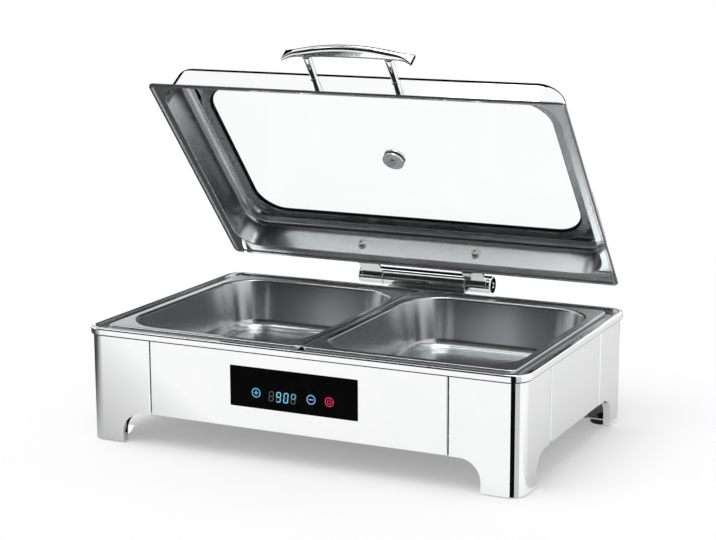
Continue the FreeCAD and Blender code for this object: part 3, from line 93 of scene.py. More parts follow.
mm = 0.001
buffing_line = 1.2 * mm
buffing_reach = 70 * mm
buffing_depth = 0.0012 * mm
sheet_wave = 110 * mm
sheet_wave_depth = 0.05 * mm
wipe_mark = 45 * mm


def polished_sheet(tree, lay=(1, 1, 0), turn=(0, 0, 0)):
    """Mirror polished steel: buffing lines along lay, slow waves of the sheet and faint wipe marks.
    Real buffing lines are 0.05 mm apart; they are drawn 1.2 mm apart so that they show."""
    place = add(tree, "TexCoord").outputs["Object"]
    turned = add(tree, "Mapping", {"Vector": place, "Rotation": turn}).outputs[0]
    reach = [buffing_reach if along else buffing_line for along in lay]
    scale = tuple(1 / r for r in reach)
    lines = add(tree, "Mapping", {"Vector": turned, "Scale": scale}).outputs[0]
    buffing = add(tree, "TexNoise", {"Vector": lines, "Scale": 1.0, "Detail": 3.0}).outputs["Fac"]
    waves = add(tree, "TexNoise", {"Vector": turned, "Scale": 1 / sheet_wave, "Detail": 0.0})
    wipes = add(tree, "TexNoise", {"Vector": turned, "Scale": 1 / wipe_mark, "Detail": 4.0})
    fine = add(tree, "Math", {0: buffing, 1: buffing_depth}, operation="MULTIPLY")
    height = add(tree, "Math", {0: waves.outputs["Fac"], 1: sheet_wave_depth, 2: fine.outputs[0]},
                 operation="MULTIPLY_ADD")
    bump = add(tree, "Bump", {"Height": height.outputs[0], "Distance": 1.0})
    gloss = add(tree, "MapRange", {"Value": wipes.outputs["Fac"], "From Min": 0.35, "From Max": 0.75,
                                   "To Min": 0.02, "To Max": 0.07})
    tint = add(tree, "Mix", {0: wipes.outputs["Fac"], 6: linear("#FCFCFB"), 7: linear("#F6F7F8")},
               data_type="RGBA")
    return {"Base Color": tint.outputs[2], "Metallic": 1.0, "Roughness": gloss.outputs[0],
            "Normal": bump.outputs[0]}


mirror_steel = finish("mirror_polished_stainless", polished_sheet)


def beaded_sheet(tree):
    """The same mirror steel, tinted dark where the bead turns under: painted shade for the shade and dark
    reflection there.
    """
    polished = polished_sheet(tree)
    normal = add(tree, "SeparateXYZ", {0: add(tree, "TexCoord").outputs["Normal"]})
    # Painted shade: faces that turn downwards are tinted dark grey.
    painted_shade_under = add(tree, "MapRange", {"Value": normal.outputs["Z"], "From Min": -0.15,
                                   "From Max": -0.3}).outputs[0]
    tint = add(tree, "Mix", {0: painted_shade_under, 6: polished["Base Color"], 7: linear("#303133")}, data_type="RGBA")
    return {**polished, "Base Color": tint.outputs[2]}


dress(finish("beaded_mirror_stainless", beaded_sheet), "top_frame")


# Legs
# Four corner legs bent from 1.2 mm stainless, each one sheet with an arched foot and folded-in edges.
# They are polished before folding, so the buffing runs round the corner.

dress(mirror_steel, "leg_front_left", "leg_front_right", "leg_rear_left", "leg_rear_right")


# Panels
# Front, rear and side panels of the same polished 1.2 mm sheet, between the legs.
# Each is folded back at its edges and screwed to the legs, which leaves the upright seams.

dress(mirror_steel, "front_panel", "rear_panel", "left_panel", "right_panel")


# Rubber feet
# Round buttons of moulded black rubber, pressed through the folded soles of the legs.
# Dust greys the matt surface, and a moulded ring runs round each foot near the floor.

rubber_grain = 0.6 * mm
rubber_grain_depth = 0.03 * mm
dust_patch = 9 * mm


def moulded_rubber(tree):
    """Black rubber: a matt moulded grain, with dust that greys it in patches."""
    place = add(tree, "TexCoord").outputs["Object"]
    grain = add(tree, "TexNoise", {"Vector": place, "Scale": 1 / rubber_grain, "Detail": 2.0})
    dust = add(tree, "TexNoise", {"Vector": place, "Scale": 1 / dust_patch, "Detail": 5.0})
    tone = add(tree, "Mix", {0: dust.outputs["Fac"], 6: linear("#161616"), 7: linear("#2E2D2C")},
               data_type="RGBA")
    rough = add(tree, "MapRange", {"Value": grain.outputs["Fac"], "To Min": 0.6, "To Max": 0.8})
    bump = add(tree, "Bump", {"Height": grain.outputs["Fac"], "Distance": rubber_grain_depth})
    return {"Base Color": tone.outputs[2], "Roughness": rough.outputs[0], "Normal": bump.outputs[0],
            "IOR": 1.52}


rubber = finish("moulded_black_rubber", moulded_rubber)
dress(rubber, "rubber_feet")


same_place = 0.001 * mm


def separate_solids(node):
    """The vertices of each separate solid in a CAD node, read from a merged copy of its mesh.
    They are taken in the mesh's own order, so that each run gives the same."""
    copy = bmesh.new()
    copy.from_mesh(frame["nodes"][node].data)
    bmesh.ops.remove_doubles(copy, verts=copy.verts, dist=same_place)
    waiting = dict.fromkeys(copy.verts)
    solids = []
    while waiting:
        reached = [waiting.popitem()[0]]
        points = []
        while reached:
            vert = reached.pop()
            points.append(vert.co.copy())
            for edge in vert.link_edges:
                other = edge.other_vert(vert)
                if other in waiting:
                    del waiting[other]
                    reached.append(other)
        solids.append(points)
    copy.free()
    return solids


def corners(points):
    """Lowest and highest corner of some points."""
    low = Vector([min(p[k] for p in points) for k in range(3)])
    high = Vector([max(p[k] for p in points) for k in range(3)])
    return low, high


sharp_edge = math.radians(35)


def piece(name, shape, material, body):
    """Make a bmesh into an object that rides on a body, with its finish and material slot."""
    mesh = bpy.data.meshes.new(name)
    bmesh.ops.recalc_face_normals(shape, faces=shape.faces)
    shape.to_mesh(mesh)
    shape.free()
    made = bpy.data.objects.new(name, mesh)
    bpy.context.scene.collection.objects.link(made)
    made.data.materials.append(material)
    made.data.shade_smooth()
    made.data.set_sharp_from_angle(angle=sharp_edge)
    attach(made, body)
    return made


def hoop(shape, centre, axis, radius, profile, steps=48):
    """Spin a small closed profile, given as (outward, along) offsets, about an axis through centre."""
    axis = Vector(axis).normalized()
    across = axis.orthogonal().normalized()
    ring = [shape.verts.new(centre + across * (radius + u) + axis * v) for u, v in profile]
    edges = [shape.edges.new((ring[k - 1], ring[k])) for k in range(len(ring))]
    bmesh.ops.spin(shape, geom=ring + edges, cent=centre, axis=axis, angle=2 * math.pi,
                   steps=steps, use_merge=True)


foot_ring_height = 3.2 * mm
ring_root = 0.6 * mm
ring_proud = 0.25 * mm
ring_wide = 0.5 * mm
ring_narrow = 0.3 * mm
foot_ring = [(-ring_root, -ring_wide), (ring_proud, -ring_narrow),
             (ring_proud, ring_narrow), (-ring_root, ring_wide)]
rings = bmesh.new()
for points in separate_solids("rubber_feet"):
    low, high = corners(points)
    middle = (low + high) / 2
    at = Vector((middle.x, middle.y, foot_ring_height))
    hoop(rings, at, (0, 0, 1), (high.x - low.x) / 2, foot_ring)
piece("foot_rings", rings, rubber, "base")


# Bottom tray
# Pressed from 1.2 mm stainless that keeps its satin mill finish, with a lip all round.
# It is screwed up under the panels, and its slots let cooling air in.

brush_line = 1.0 * mm
brush_reach = 40 * mm
brush_depth = 0.008 * mm
sheen_patch = 60 * mm


def satin_sheet(tree, lay=(1, 0, 0), turn=(0, 0, 0), light="#DADBDB", dark="#C6C8C9"):
    """Satin steel: a soft grey sheen with a fine grain along lay, drawn 1 mm wide so that it shows."""
    place = add(tree, "TexCoord").outputs["Object"]
    scale = tuple(1 / (brush_reach if along else brush_line) for along in lay)
    turned = add(tree, "Mapping", {"Vector": place, "Rotation": turn}).outputs[0]
    lines = add(tree, "Mapping", {"Vector": turned, "Scale": scale}).outputs[0]
    grain = add(tree, "TexNoise", {"Vector": lines, "Scale": 1.0, "Detail": 4.0}).outputs["Fac"]
    cloud = add(tree, "TexNoise", {"Vector": turned, "Scale": 1 / sheen_patch, "Detail": 3.0})
    tint = add(tree, "Mix", {0: cloud.outputs["Fac"], 6: linear(light), 7: linear(dark)},
               data_type="RGBA")
    gloss = add(tree, "MapRange", {"Value": grain, "From Min": 0.3, "From Max": 0.7, "To Min": 0.22,
                                   "To Max": 0.34})
    bump = add(tree, "Bump", {"Height": grain, "Distance": brush_depth})
    return {"Base Color": tint.outputs[2], "Metallic": 1.0, "Roughness": gloss.outputs[0],
            "Normal": bump.outputs[0]}


satin_steel = finish("satin_stainless", satin_sheet)
dress(satin_steel, "bottom_tray")


# Screws and nuts of the base
# Cold formed steel, bright zinc plated: pan heads with a cross recess, and hexagon nuts.
# The plating is slightly mottled with a faint blue and yellow cast.

plating_patch = 2.5 * mm
plating_depth = 0.02 * mm
recess_shade_mottle = 0.8 * mm


def zinc_plate(tree):
    """Bright zinc: grey metal with a blue and straw cast in patches of a few millimetres."""
    place = add(tree, "TexCoord").outputs["Object"]
    patch = add(tree, "TexNoise", {"Vector": place, "Scale": 1 / plating_patch, "Detail": 3.0})
    tint = add(tree, "Mix", {0: patch.outputs["Fac"], 6: linear("#BFC6CF"), 7: linear("#CFCAB8")},
               data_type="RGBA")
    gloss = add(tree, "MapRange", {"Value": patch.outputs["Fac"], "To Min": 0.2, "To Max": 0.4})
    bump = add(tree, "Bump", {"Height": patch.outputs["Fac"], "Distance": plating_depth})
    return {"Base Color": tint.outputs[2], "Metallic": 1.0, "Roughness": gloss.outputs[0],
            "Normal": bump.outputs[0]}


zinc = finish("bright_zinc_plate", zinc_plate)
dress(zinc, "seam_screws", "seam_nuts", "tray_screws")


def shadowed_recess(tree):
    """Painted shade for the bottom of a driver recess: near black with a faint mottle, hardly shiny."""
    place = add(tree, "TexCoord").outputs["Object"]
    shade_mottle = add(tree, "TexNoise", {"Vector": place, "Scale": 1 / recess_shade_mottle, "Detail": 2.0})
    tone = add(tree, "Mix", {0: shade_mottle.outputs["Fac"], 6: linear("#0C0C0D"), 7: linear("#2A2A2B")},
               data_type="RGBA")
    return {"Base Color": tone.outputs[2], "Roughness": 0.6}


# The recesses are painted shade: dark crosses set into the heads.
recess_painted_shade = finish("painted_shade_driver_recess", shadowed_recess)
recess_reach = 0.62
recess_width = 0.26
recess_sink = 0.25 * mm
recess_proud = 0.04 * mm


def screw_tops(node):
    """Middle of the head, outward direction and head radius of each screw in a CAD node."""
    tops = []
    for points in separate_solids(node):
        cloud = np.array(points)
        middle = cloud.mean(0)
        axis = np.linalg.eigh(np.cov((cloud - middle).T))[1][:, 2]
        along = (cloud - middle) @ axis
        across = np.linalg.norm(cloud - middle - np.outer(along, axis), axis=1)
        if across[along > 0].max() < across[along < 0].max():
            axis = -axis
            along = -along
        tops.append((Vector(middle + axis * along.max()), Vector(axis), across.max()))
    return tops


def cross_recesses(name, node, body):
    """The dark cross of painted shade in every screw head of a node."""
    crosses = bmesh.new()
    for top, out, radius in screw_tops(node):
        turn = out.to_track_quat("Z", "Y").to_matrix().to_4x4()
        centre = Matrix.Translation(top + out * (recess_proud - recess_sink / 2))
        for arm in (Vector((1, 0, 0)), Vector((0, 1, 0))):
            long = 2 * radius * recess_reach
            wide = radius * recess_width
            size = arm * (long - wide) + Vector((wide, wide, recess_sink))
            bmesh.ops.create_cube(crosses, size=1, matrix=centre @ turn @ Matrix.Diagonal((*size, 1)))
    piece(name, crosses, recess_painted_shade, body)


cross_recesses("seam_screw_recesses", "seam_screws", "base")
cross_recesses("tray_screw_recesses", "tray_screws", "base")


# Heater
# A rolled aluminium plate under the water pan, with a swaged steel tube clamped to it from below.
# A thinner aluminium sheet with a lip throws the heat back up, and steatite beads end the tube.

mill_line = 1.5 * mm
mill_reach = 80 * mm
mill_depth = 0.01 * mm
plate_heat_patch = 35 * mm


def rolled_aluminium(tree):
    """Rolled aluminium: pale, with mill lines along X and dull heat marks.
    Real mill lines are too fine to show, and are drawn 1.5 mm wide."""
    place = add(tree, "TexCoord").outputs["Object"]
    scale = (1 / mill_reach, 1 / mill_line, 1 / mill_line)
    lines = add(tree, "Mapping", {"Vector": place, "Scale": scale}).outputs[0]
    mill = add(tree, "TexNoise", {"Vector": lines, "Scale": 1.0, "Detail": 3.0}).outputs["Fac"]
    heat = add(tree, "TexNoise", {"Vector": place, "Scale": 1 / plate_heat_patch, "Detail": 4.0})
    tint = add(tree, "Mix", {0: heat.outputs["Fac"], 6: linear("#DDDEDE"), 7: linear("#BDB9B2")},
               data_type="RGBA")
    gloss = add(tree, "MapRange", {"Value": heat.outputs["Fac"], "To Min": 0.28, "To Max": 0.5})
    bump = add(tree, "Bump", {"Height": mill, "Distance": mill_depth})
    return {"Base Color": tint.outputs[2], "Metallic": 1.0, "Roughness": gloss.outputs[0],
            "Normal": bump.outputs[0]}


aluminium = finish("rolled_aluminium", rolled_aluminium)
dress(aluminium, "heater_plate", "heat_reflector")


tube_heat_patch = 50 * mm
tube_scale = 1.2 * mm
tube_scale_depth = 0.02 * mm


def blued_steel(tree):
    """Heated stainless tube: straw and brown temper colours over a dull satin."""
    place = add(tree, "TexCoord").outputs["Object"]
    heat = add(tree, "TexNoise", {"Vector": place, "Scale": 1 / tube_heat_patch, "Detail": 3.0})
    temper = add(tree, "ValToRGB", {0: heat.outputs["Fac"]})
    ramp = temper.color_ramp
    ramp.elements[0].position = 0.3
    ramp.elements[0].color = linear("#B9B8B4")
    ramp.elements[1].position = 0.7
    ramp.elements[1].color = linear("#8C7C6A")
    ramp.elements.new(0.5).color = linear("#B7A27C")
    scale_marks = add(tree, "TexNoise", {"Vector": place, "Scale": 1 / tube_scale, "Detail": 3.0})
    bump = add(tree, "Bump", {"Height": scale_marks.outputs["Fac"], "Distance": tube_scale_depth})
    return {"Base Color": temper.outputs[0], "Metallic": 1.0, "Roughness": 0.38,
            "Normal": bump.outputs[0]}


tempered_tube = finish("heat_tempered_steel_tube", blued_steel)
dress(tempered_tube, "heating_tube")
dress(zinc, "element_clamps", "heater_standoffs")


speck_spacing = 1.1 * mm
pressed_grain = 0.7 * mm
pressed_grain_depth = 0.03 * mm


def steatite(tree):
    """Pressed unglazed ceramic: chalky cream with fine dark specks."""
    place = add(tree, "TexCoord").outputs["Object"]
    speck = add(tree, "TexVoronoi", {"Vector": place, "Scale": 1 / speck_spacing})
    spot = add(tree, "MapRange", {"Value": speck.outputs["Distance"], "From Min": 0.08,
                                  "From Max": 0.16})
    tone = add(tree, "Mix", {0: spot.outputs[0], 6: linear("#9C8D78"), 7: linear("#E9E2D4")},
               data_type="RGBA")
    press = add(tree, "TexNoise", {"Vector": place, "Scale": 1 / pressed_grain, "Detail": 2.0})
    bump = add(tree, "Bump", {"Height": press.outputs["Fac"], "Distance": pressed_grain_depth})
    return {"Base Color": tone.outputs[2], "Roughness": 0.62, "Normal": bump.outputs[0]}


ceramic = finish("steatite_ceramic", steatite)
dress(ceramic, "element_terminals")


# Water pan
# Deep drawn from 1.0 mm stainless, satin inside and out, with a flat rim that rests on the ledge of the
# top frame.

draw_line = 1.4 * mm
draw_reach = 50 * mm
draw_depth = 0.006 * mm
cloud_patch = 55 * mm


def drawn_steel(tree):
    """Deep drawn satin steel: soft sheen, faint upright draw lines and cloudy patches."""
    place = add(tree, "TexCoord").outputs["Object"]
    scale = (1 / draw_line, 1 / draw_line, 1 / draw_reach)
    lines = add(tree, "Mapping", {"Vector": place, "Scale": scale}).outputs[0]
    drawn = add(tree, "TexNoise", {"Vector": lines, "Scale": 1.0, "Detail": 3.0}).outputs["Fac"]
    cloud = add(tree, "TexNoise", {"Vector": place, "Scale": 1 / cloud_patch, "Detail": 1.0})
    tint = add(tree, "Mix", {0: cloud.outputs["Fac"], 6: linear("#D9DADB"), 7: linear("#CBCDCF")},
               data_type="RGBA")
    gloss = add(tree, "MapRange", {"Value": cloud.outputs["Fac"], "To Min": 0.2, "To Max": 0.27})
    bump = add(tree, "Bump", {"Height": drawn, "Distance": draw_depth})
    return {"Base Color": tint.outputs[2], "Metallic": 1.0, "Roughness": gloss.outputs[0],
            "Normal": bump.outputs[0]}


pan_steel = finish("deep_drawn_stainless", drawn_steel)
dress(pan_steel, "water_pan")


# Food pans
# Two half-size catering pans drawn from the same stainless, 0.8 mm thick, with rims hemmed over a rounded
# edge. They hang side by side by their rims in the opening of the water pan.

dress(pan_steel, "left_food_pan", "right_food_pan")


# Temperature probe and thermal cut-out
# A steel sleeve with the sensor in it, and a snap disc switch in a black moulded body.
# Both are held under the heater plate.

dress(tempered_tube, "temperature_probe")


spark_grain = 0.5 * mm
spark_depth = 0.02 * mm
flow_patch = 25 * mm


def moulded_black(tree):
    """Injection moulded black plastic: half matt, from the spark eroded skin of its mould."""
    place = add(tree, "TexCoord").outputs["Object"]
    spark = add(tree, "TexNoise", {"Vector": place, "Scale": 1 / spark_grain, "Detail": 2.0})
    flow = add(tree, "TexNoise", {"Vector": place, "Scale": 1 / flow_patch, "Detail": 2.0})
    tone = add(tree, "Mix", {0: flow.outputs["Fac"], 6: linear("#141416"), 7: linear("#202124")},
               data_type="RGBA")
    rough = add(tree, "MapRange", {"Value": spark.outputs["Fac"], "To Min": 0.38, "To Max": 0.6})
    bump = add(tree, "Bump", {"Height": spark.outputs["Fac"], "Distance": spark_depth})
    return {"Base Color": tone.outputs[2], "Roughness": rough.outputs[0], "Normal": bump.outputs[0],
            "IOR": 1.53}


black_plastic = finish("moulded_black_plastic", moulded_black)
dress(black_plastic, "thermal_cutout")


# Control fascia
# A plate of black tempered glass, set flush in the front panel, with clear signs in its black back print.
# Blue and red lamps shine through the signs, and four seven-bar digits show the temperature.

finger_mark = 12 * mm


def back_printed_glass(tree):
    """Black glass: deep gloss, with the odd finger mark softening it."""
    place = add(tree, "TexCoord").outputs["Object"]
    touch = add(tree, "TexNoise", {"Vector": place, "Scale": 1 / finger_mark, "Detail": 5.0})
    gloss = add(tree, "MapRange", {"Value": touch.outputs["Fac"], "From Min": 0.5, "From Max": 0.8,
                                   "To Min": 0.02, "To Max": 0.12})
    tone = add(tree, "Mix", {0: touch.outputs["Fac"], 6: linear("#020203"), 7: linear("#050506")},
               data_type="RGBA")
    return {"Base Color": tone.outputs[2], "Roughness": gloss.outputs[0], "IOR": 1.45,
            "Specular IOR Level": 0.03}


black_glass = finish("back_printed_black_glass", back_printed_glass)
dress(black_glass, "control_fascia")


sign_unevenness = 3 * mm
digit_unevenness = 4 * mm


def lamp_light(colour, patch):
    """Lamp light in a printed window, slightly uneven in patches of a lamp's size."""
    def build(tree):
        place = add(tree, "TexCoord").outputs["Object"]
        cloud = add(tree, "TexNoise", {"Vector": place, "Scale": 1 / patch, "Detail": 2.0})
        glow = add(tree, "MapRange", {"Value": cloud.outputs["Fac"], "From Min": 0.3, "From Max": 0.7,
                                      "To Min": 0.75, "To Max": 1.0})
        lit = add(tree, "Mix", {0: 1.0, 6: linear(colour), 7: glow.outputs[0]},
                  data_type="RGBA", blend_type="MULTIPLY")
        return {"Base Color": linear("#0A0A0C"), "Roughness": 0.3,
                "Emission Color": lit.outputs[2], "Emission Strength": 1.0}
    return build


blue_lamp = finish("blue_lamp_light", lamp_light("#57BFE2", sign_unevenness))
pale_lamp = finish("pale_blue_lamp_light", lamp_light("#86B8E8", sign_unevenness))
red_lamp = finish("red_lamp_light", lamp_light("#D4224F", sign_unevenness))
digit_lamp = finish("digit_lamp_light", lamp_light("#6FD0F0", digit_unevenness))
degree_lamp = finish("dim_digit_lamp_light", lamp_light("#64A8B4", digit_unevenness))
# The unlit bars are given a faint painted glow of dark grey.
unlit_bar_painted_glow = finish("unlit_digit_bar_painted_glow", lamp_light("#3F3B3B", digit_unevenness))

sign_proud = 0.08 * mm
sign_sink = 0.3 * mm
fascia_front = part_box("control_fascia")[0].y
sign_front = fascia_front - sign_proud
sign_back = fascia_front + sign_sink
sign_radius = 5.2 * mm
sign_line = 1.15 * mm


def bar(shape, middle, length, width, angle, chamfer):
    """One bar of a sign or digit: a thin block on the face of the glass, chamfered to points."""
    before = set(shape.verts)
    size = (length, sign_back - sign_front, width, 1)
    at = Vector((middle[0], (sign_front + sign_back) / 2, middle[1]))
    place = Matrix.Translation(at) @ Matrix.Rotation(angle, 4, "Y") @ Matrix.Diagonal(size)
    bmesh.ops.create_cube(shape, size=1, matrix=place)
    if chamfer:
        fresh = [v for v in shape.verts if v not in before]
        deep = [e for v in fresh for e in v.link_edges
                if abs(e.verts[0].co.y - e.verts[1].co.y) > sign_sink / 3]
        bmesh.ops.bevel(shape, geom=list(dict.fromkeys(deep)), offset=chamfer, affect="EDGES",
                        segments=1, profile=0.5, material=-1)


def round_sign(shape, x, z, radius):
    """The ring round a touch sign."""
    half = sign_line / 2
    profile = [(-half, 0), (half, 0), (half, sign_back - sign_front), (-half, sign_back - sign_front)]
    hoop(shape, Vector((x, sign_front, z)), (0, 1, 0), radius, profile)


# Each touch sign is in front of its spring.
spring_boxes = [corners(points) for points in separate_solids("touch_springs")]
plus_x, minus_x, power_x = sorted((low.x + high.x) / 2 for low, high in spring_boxes)
spring_low, spring_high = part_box("touch_springs")
sign_z = (spring_low.z + spring_high.z) / 2
plus_length = 5.6 * mm
minus_line = 1.2 * sign_line

plus = bmesh.new()
round_sign(plus, plus_x, sign_z, sign_radius)
bar(plus, (plus_x, sign_z), plus_length, sign_line, 0, 0)
bar(plus, (plus_x, sign_z), plus_length, sign_line, math.pi / 2, 0)
piece("plus_sign", plus, blue_lamp, "base")

minus = bmesh.new()
round_sign(minus, minus_x, sign_z, sign_radius)
bar(minus, (minus_x, sign_z), plus_length, minus_line, 0, 0)
piece("minus_sign", minus, pale_lamp, "base")

# The power sign is a ring, open at the top, with an upright bar in its gap.
power_radius = 2.5 * mm
power_gap = math.radians(80)
power_bar = 3.2 * mm
power_bar_rise = 2.0 * mm
half_line = 0.45 * mm
power = bmesh.new()
round_sign(power, power_x, sign_z, sign_radius)
start = Vector((power_x, sign_front, sign_z))
ring = []
for u, v in ((-half_line, 0), (half_line, 0), (half_line, sign_sink), (-half_line, sign_sink)):
    ring.append(power.verts.new(start + Vector((0, v, power_radius + u))))
arc = ring + [power.edges.new((ring[k - 1], ring[k])) for k in range(4)]
arc.append(power.faces.new(ring))
bmesh.ops.rotate(power, verts=ring, cent=start, matrix=Matrix.Rotation(power_gap / 2, 3, "Y"))
bmesh.ops.spin(power, geom=arc, cent=start, axis=(0, 1, 0), angle=2 * math.pi - power_gap, steps=24)
bar(power, (power_x, sign_z + power_bar_rise), 2 * half_line, power_bar, 0, 0)
piece("power_sign", power, red_lamp, "base")

# A digit is seven bars round two squares, and it leans to the right by 6 degrees.
display_low, display_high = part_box("display_module")
digit_pitch = 9.6 * mm
digit_height = 12.6 * mm
digit_width = 6.4 * mm
bar_width = 1.35 * mm
bar_gap = 0.25 * mm
bar_point = 0.48 * bar_width
lean = math.radians(6)
bars = {
    "top": (0, 1, 0), "middle": (0, 0, 0), "bottom": (0, -1, 0),
    "top_left": (-1, 0.5, 1), "top_right": (1, 0.5, 1),
    "low_left": (-1, -0.5, 1), "low_right": (1, -0.5, 1),
}
# From the left: an unlit digit whose bars have a faint painted glow, a nine, a nought, and a dimmer degree
# sign.
shown = [
    ((), unlit_bar_painted_glow),
    (("top", "middle", "top_left", "top_right", "low_right", "bottom"), digit_lamp),
    (("top", "bottom", "top_left", "top_right", "low_left", "low_right"), digit_lamp),
    (("top", "middle", "top_left", "top_right"), degree_lamp),
]
display_middle = (display_low + display_high) / 2
lit_bars = {lamp: bmesh.new() for lamp in (unlit_bar_painted_glow, digit_lamp, degree_lamp)}
for place, (lit, lamp) in enumerate(shown):
    x = display_middle.x + (place - 1.5) * digit_pitch
    for name, (side, up, upright) in bars.items():
        glow = lamp if name in lit else unlit_bar_painted_glow
        z = up * (digit_height - bar_width) / 2
        middle = (x + side * (digit_width - bar_width) / 2 + z * math.tan(lean), display_middle.z + z)
        reach = (digit_height - bar_width) / 2 if upright else digit_width - bar_width
        turn = math.pi / 2 + lean if upright else 0
        bar(lit_bars[glow], middle, reach - bar_gap, bar_width, turn, bar_point)
for glow, shape in lit_bars.items():
    piece("digit_bars_" + glow.name, shape, glow, "base")


# Control housing
# A moulded black plastic box that keeps steam off the control board.
# Its flange is held behind the front panel by nuts on welded studs.

dress(black_plastic, "control_housing")
dress(zinc, "housing_nuts")


# Control board
# A 1.6 mm glass-fibre board with green solder mask over copper tracks, standing on four bosses.
# The digit display and three coil springs on its front reach the back of the glass.

track_run = 9 * mm
track_pitch = 2.4 * mm
track_height = 0.03 * mm


def solder_mask(tree):
    """Green solder mask: copper tracks show through it as lighter lines about 1 mm wide."""
    place = add(tree, "TexCoord").outputs["Object"]
    scale = (1 / track_run, 1 / track_run, 1 / track_pitch)
    grid = add(tree, "Mapping", {"Vector": place, "Scale": scale}).outputs[0]
    run = add(tree, "TexVoronoi", {"Vector": grid, "Scale": 1.0}, distance="CHEBYCHEV")
    track = add(tree, "MapRange", {"Value": run.outputs["Distance"], "From Min": 0.38,
                                   "From Max": 0.42})
    tone = add(tree, "Mix", {0: track.outputs[0], 6: linear("#1C5A34"), 7: linear("#123F25")},
               data_type="RGBA")
    bump = add(tree, "Bump", {"Height": track.outputs[0], "Distance": track_height})
    return {"Base Color": tone.outputs[2], "Roughness": 0.3, "Normal": bump.outputs[0]}


board_green = finish("green_solder_mask", solder_mask)
dress(board_green, "control_board", "power_board")


lens_flow = 6 * mm


def smoked_lens(tree):
    """Smoked plastic over the lamps: nearly black, glossy, with moulding flow lines."""
    place = add(tree, "TexCoord").outputs["Object"]
    flow = add(tree, "TexNoise", {"Vector": place, "Scale": 1 / lens_flow, "Detail": 2.0})
    tone = add(tree, "Mix", {0: flow.outputs["Fac"], 6: linear("#141416"), 7: linear("#242427")},
               data_type="RGBA")
    rough = add(tree, "MapRange", {"Value": flow.outputs["Fac"], "To Min": 0.15, "To Max": 0.3})
    return {"Base Color": tone.outputs[2], "Roughness": rough.outputs[0]}


smoked = finish("smoked_lens_plastic", smoked_lens)
dress(smoked, "display_module")


# A wave texture repeats each pi / 10 of its scaled coordinate.
wave_repeat = math.pi / 10
spring_pitch = 1.98 * mm
spring_depth = 0.3 * mm


def spring_wire(tree):
    """Coiled spring wire: a dark line of painted shade between turns each 2 mm, so that the turns show."""
    place = add(tree, "TexCoord").outputs["Object"]
    turns = add(tree, "TexWave", {"Vector": place, "Scale": wave_repeat / spring_pitch,
                                  "Distortion": 0.0}, bands_direction="Y")
    # Painted shade: the wave darkens the line between turns.
    tone = add(tree, "Mix", {0: turns.outputs["Fac"], 6: linear("#6B6A66"), 7: linear("#D8D6CF")},
               data_type="RGBA")
    bump = add(tree, "Bump", {"Height": turns.outputs["Fac"], "Distance": spring_depth})
    return {"Base Color": tone.outputs[2], "Metallic": 1.0, "Roughness": 0.3,
            "Normal": bump.outputs[0]}


coil_wire = finish("coiled_spring_wire", spring_wire)
dress(coil_wire, "touch_springs")


def box_between(shape, low, high, edge):
    """A block from corner to corner with its edges rounded."""
    before = set(shape.verts)
    middle = (Vector(low) + Vector(high)) / 2
    size = Vector(high) - Vector(low)
    place = Matrix.Translation(middle) @ Matrix.Diagonal((*size, 1))
    bmesh.ops.create_cube(shape, size=1, matrix=place)
    fresh = [e for e in shape.edges if e.verts[0] not in before]
    bmesh.ops.bevel(shape, geom=fresh, offset=edge, affect="EDGES", segments=2, profile=0.5, material=-1)


tin_grain = 0.5 * mm
tin_depth = 0.02 * mm


def solder_tin(tree):
    """Tinned pins and solder: bright soft metal with a grainy skin."""
    place = add(tree, "TexCoord").outputs["Object"]
    skin = add(tree, "TexNoise", {"Vector": place, "Scale": 1 / tin_grain, "Detail": 2.0})
    tint = add(tree, "Mix", {0: skin.outputs["Fac"], 6: linear("#DCDDDC"), 7: linear("#B4B6B5")},
               data_type="RGBA")
    bump = add(tree, "Bump", {"Height": skin.outputs["Fac"], "Distance": tin_depth})
    return {"Base Color": tint.outputs[2], "Metallic": 1.0, "Roughness": 0.3,
            "Normal": bump.outputs[0]}


tin = finish("solder_tin", solder_tin)

# Two square chips lie on the back of the board, with a row of tinned pins at two sides of each.
board_low, board_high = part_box("control_board")
chip_half = 5 * mm
chip_lift = 0.2 * mm
chip_height = 1.6 * mm
chip_edge = 0.3 * mm
chip_x = 30 * mm
pin_count = 8
pin_pitch = 1.27 * mm
pin_out = 0.7 * mm
pin_half = Vector((0.25 * mm, 0, 0.8 * mm))
pin_height = Vector((0, 0.6 * mm, 0))
pin_edge = 0.08 * mm
chips = bmesh.new()
pins = bmesh.new()
for x in (-chip_x, chip_x):
    at = Vector((x, board_high.y, (board_low.z + board_high.z) / 2))
    corner = Vector((chip_half, 0, chip_half))
    box_between(chips, at - corner + Vector((0, chip_lift, 0)),
                at + corner + Vector((0, chip_height, 0)), chip_edge)
    for k in range(pin_count):
        step = (k - (pin_count - 1) / 2) * pin_pitch
        for side in (-1, 1):
            foot = at + Vector((step, 0, side * (chip_half + pin_out)))
            box_between(pins, foot - pin_half, foot + pin_half + pin_height, pin_edge)
piece("control_chips", chips, black_plastic, "base")
piece("control_chip_pins", pins, tin, "base")


# Power board
# The same green board screwed inside the rear, with an encapsulated transformer, a relay, a capacitor
# and a row of screw terminals that take the leads.

case_flow = 7 * mm


def relay_case(tree):
    """Blue glass-filled nylon case, gloss with faint flow marks."""
    place = add(tree, "TexCoord").outputs["Object"]
    flow = add(tree, "TexNoise", {"Vector": place, "Scale": 1 / case_flow, "Detail": 3.0})
    tone = add(tree, "Mix", {0: flow.outputs["Fac"], 6: linear("#1F56A6"), 7: linear("#2C69BE")},
               data_type="RGBA")
    rough = add(tree, "MapRange", {"Value": flow.outputs["Fac"], "To Min": 0.2, "To Max": 0.4})
    return {"Base Color": tone.outputs[2], "Roughness": rough.outputs[0]}


relay_blue = finish("blue_relay_case", relay_case)
dress(relay_blue, "power_relay")


core_plate = 1.98 * mm
core_plate_depth = 0.1 * mm


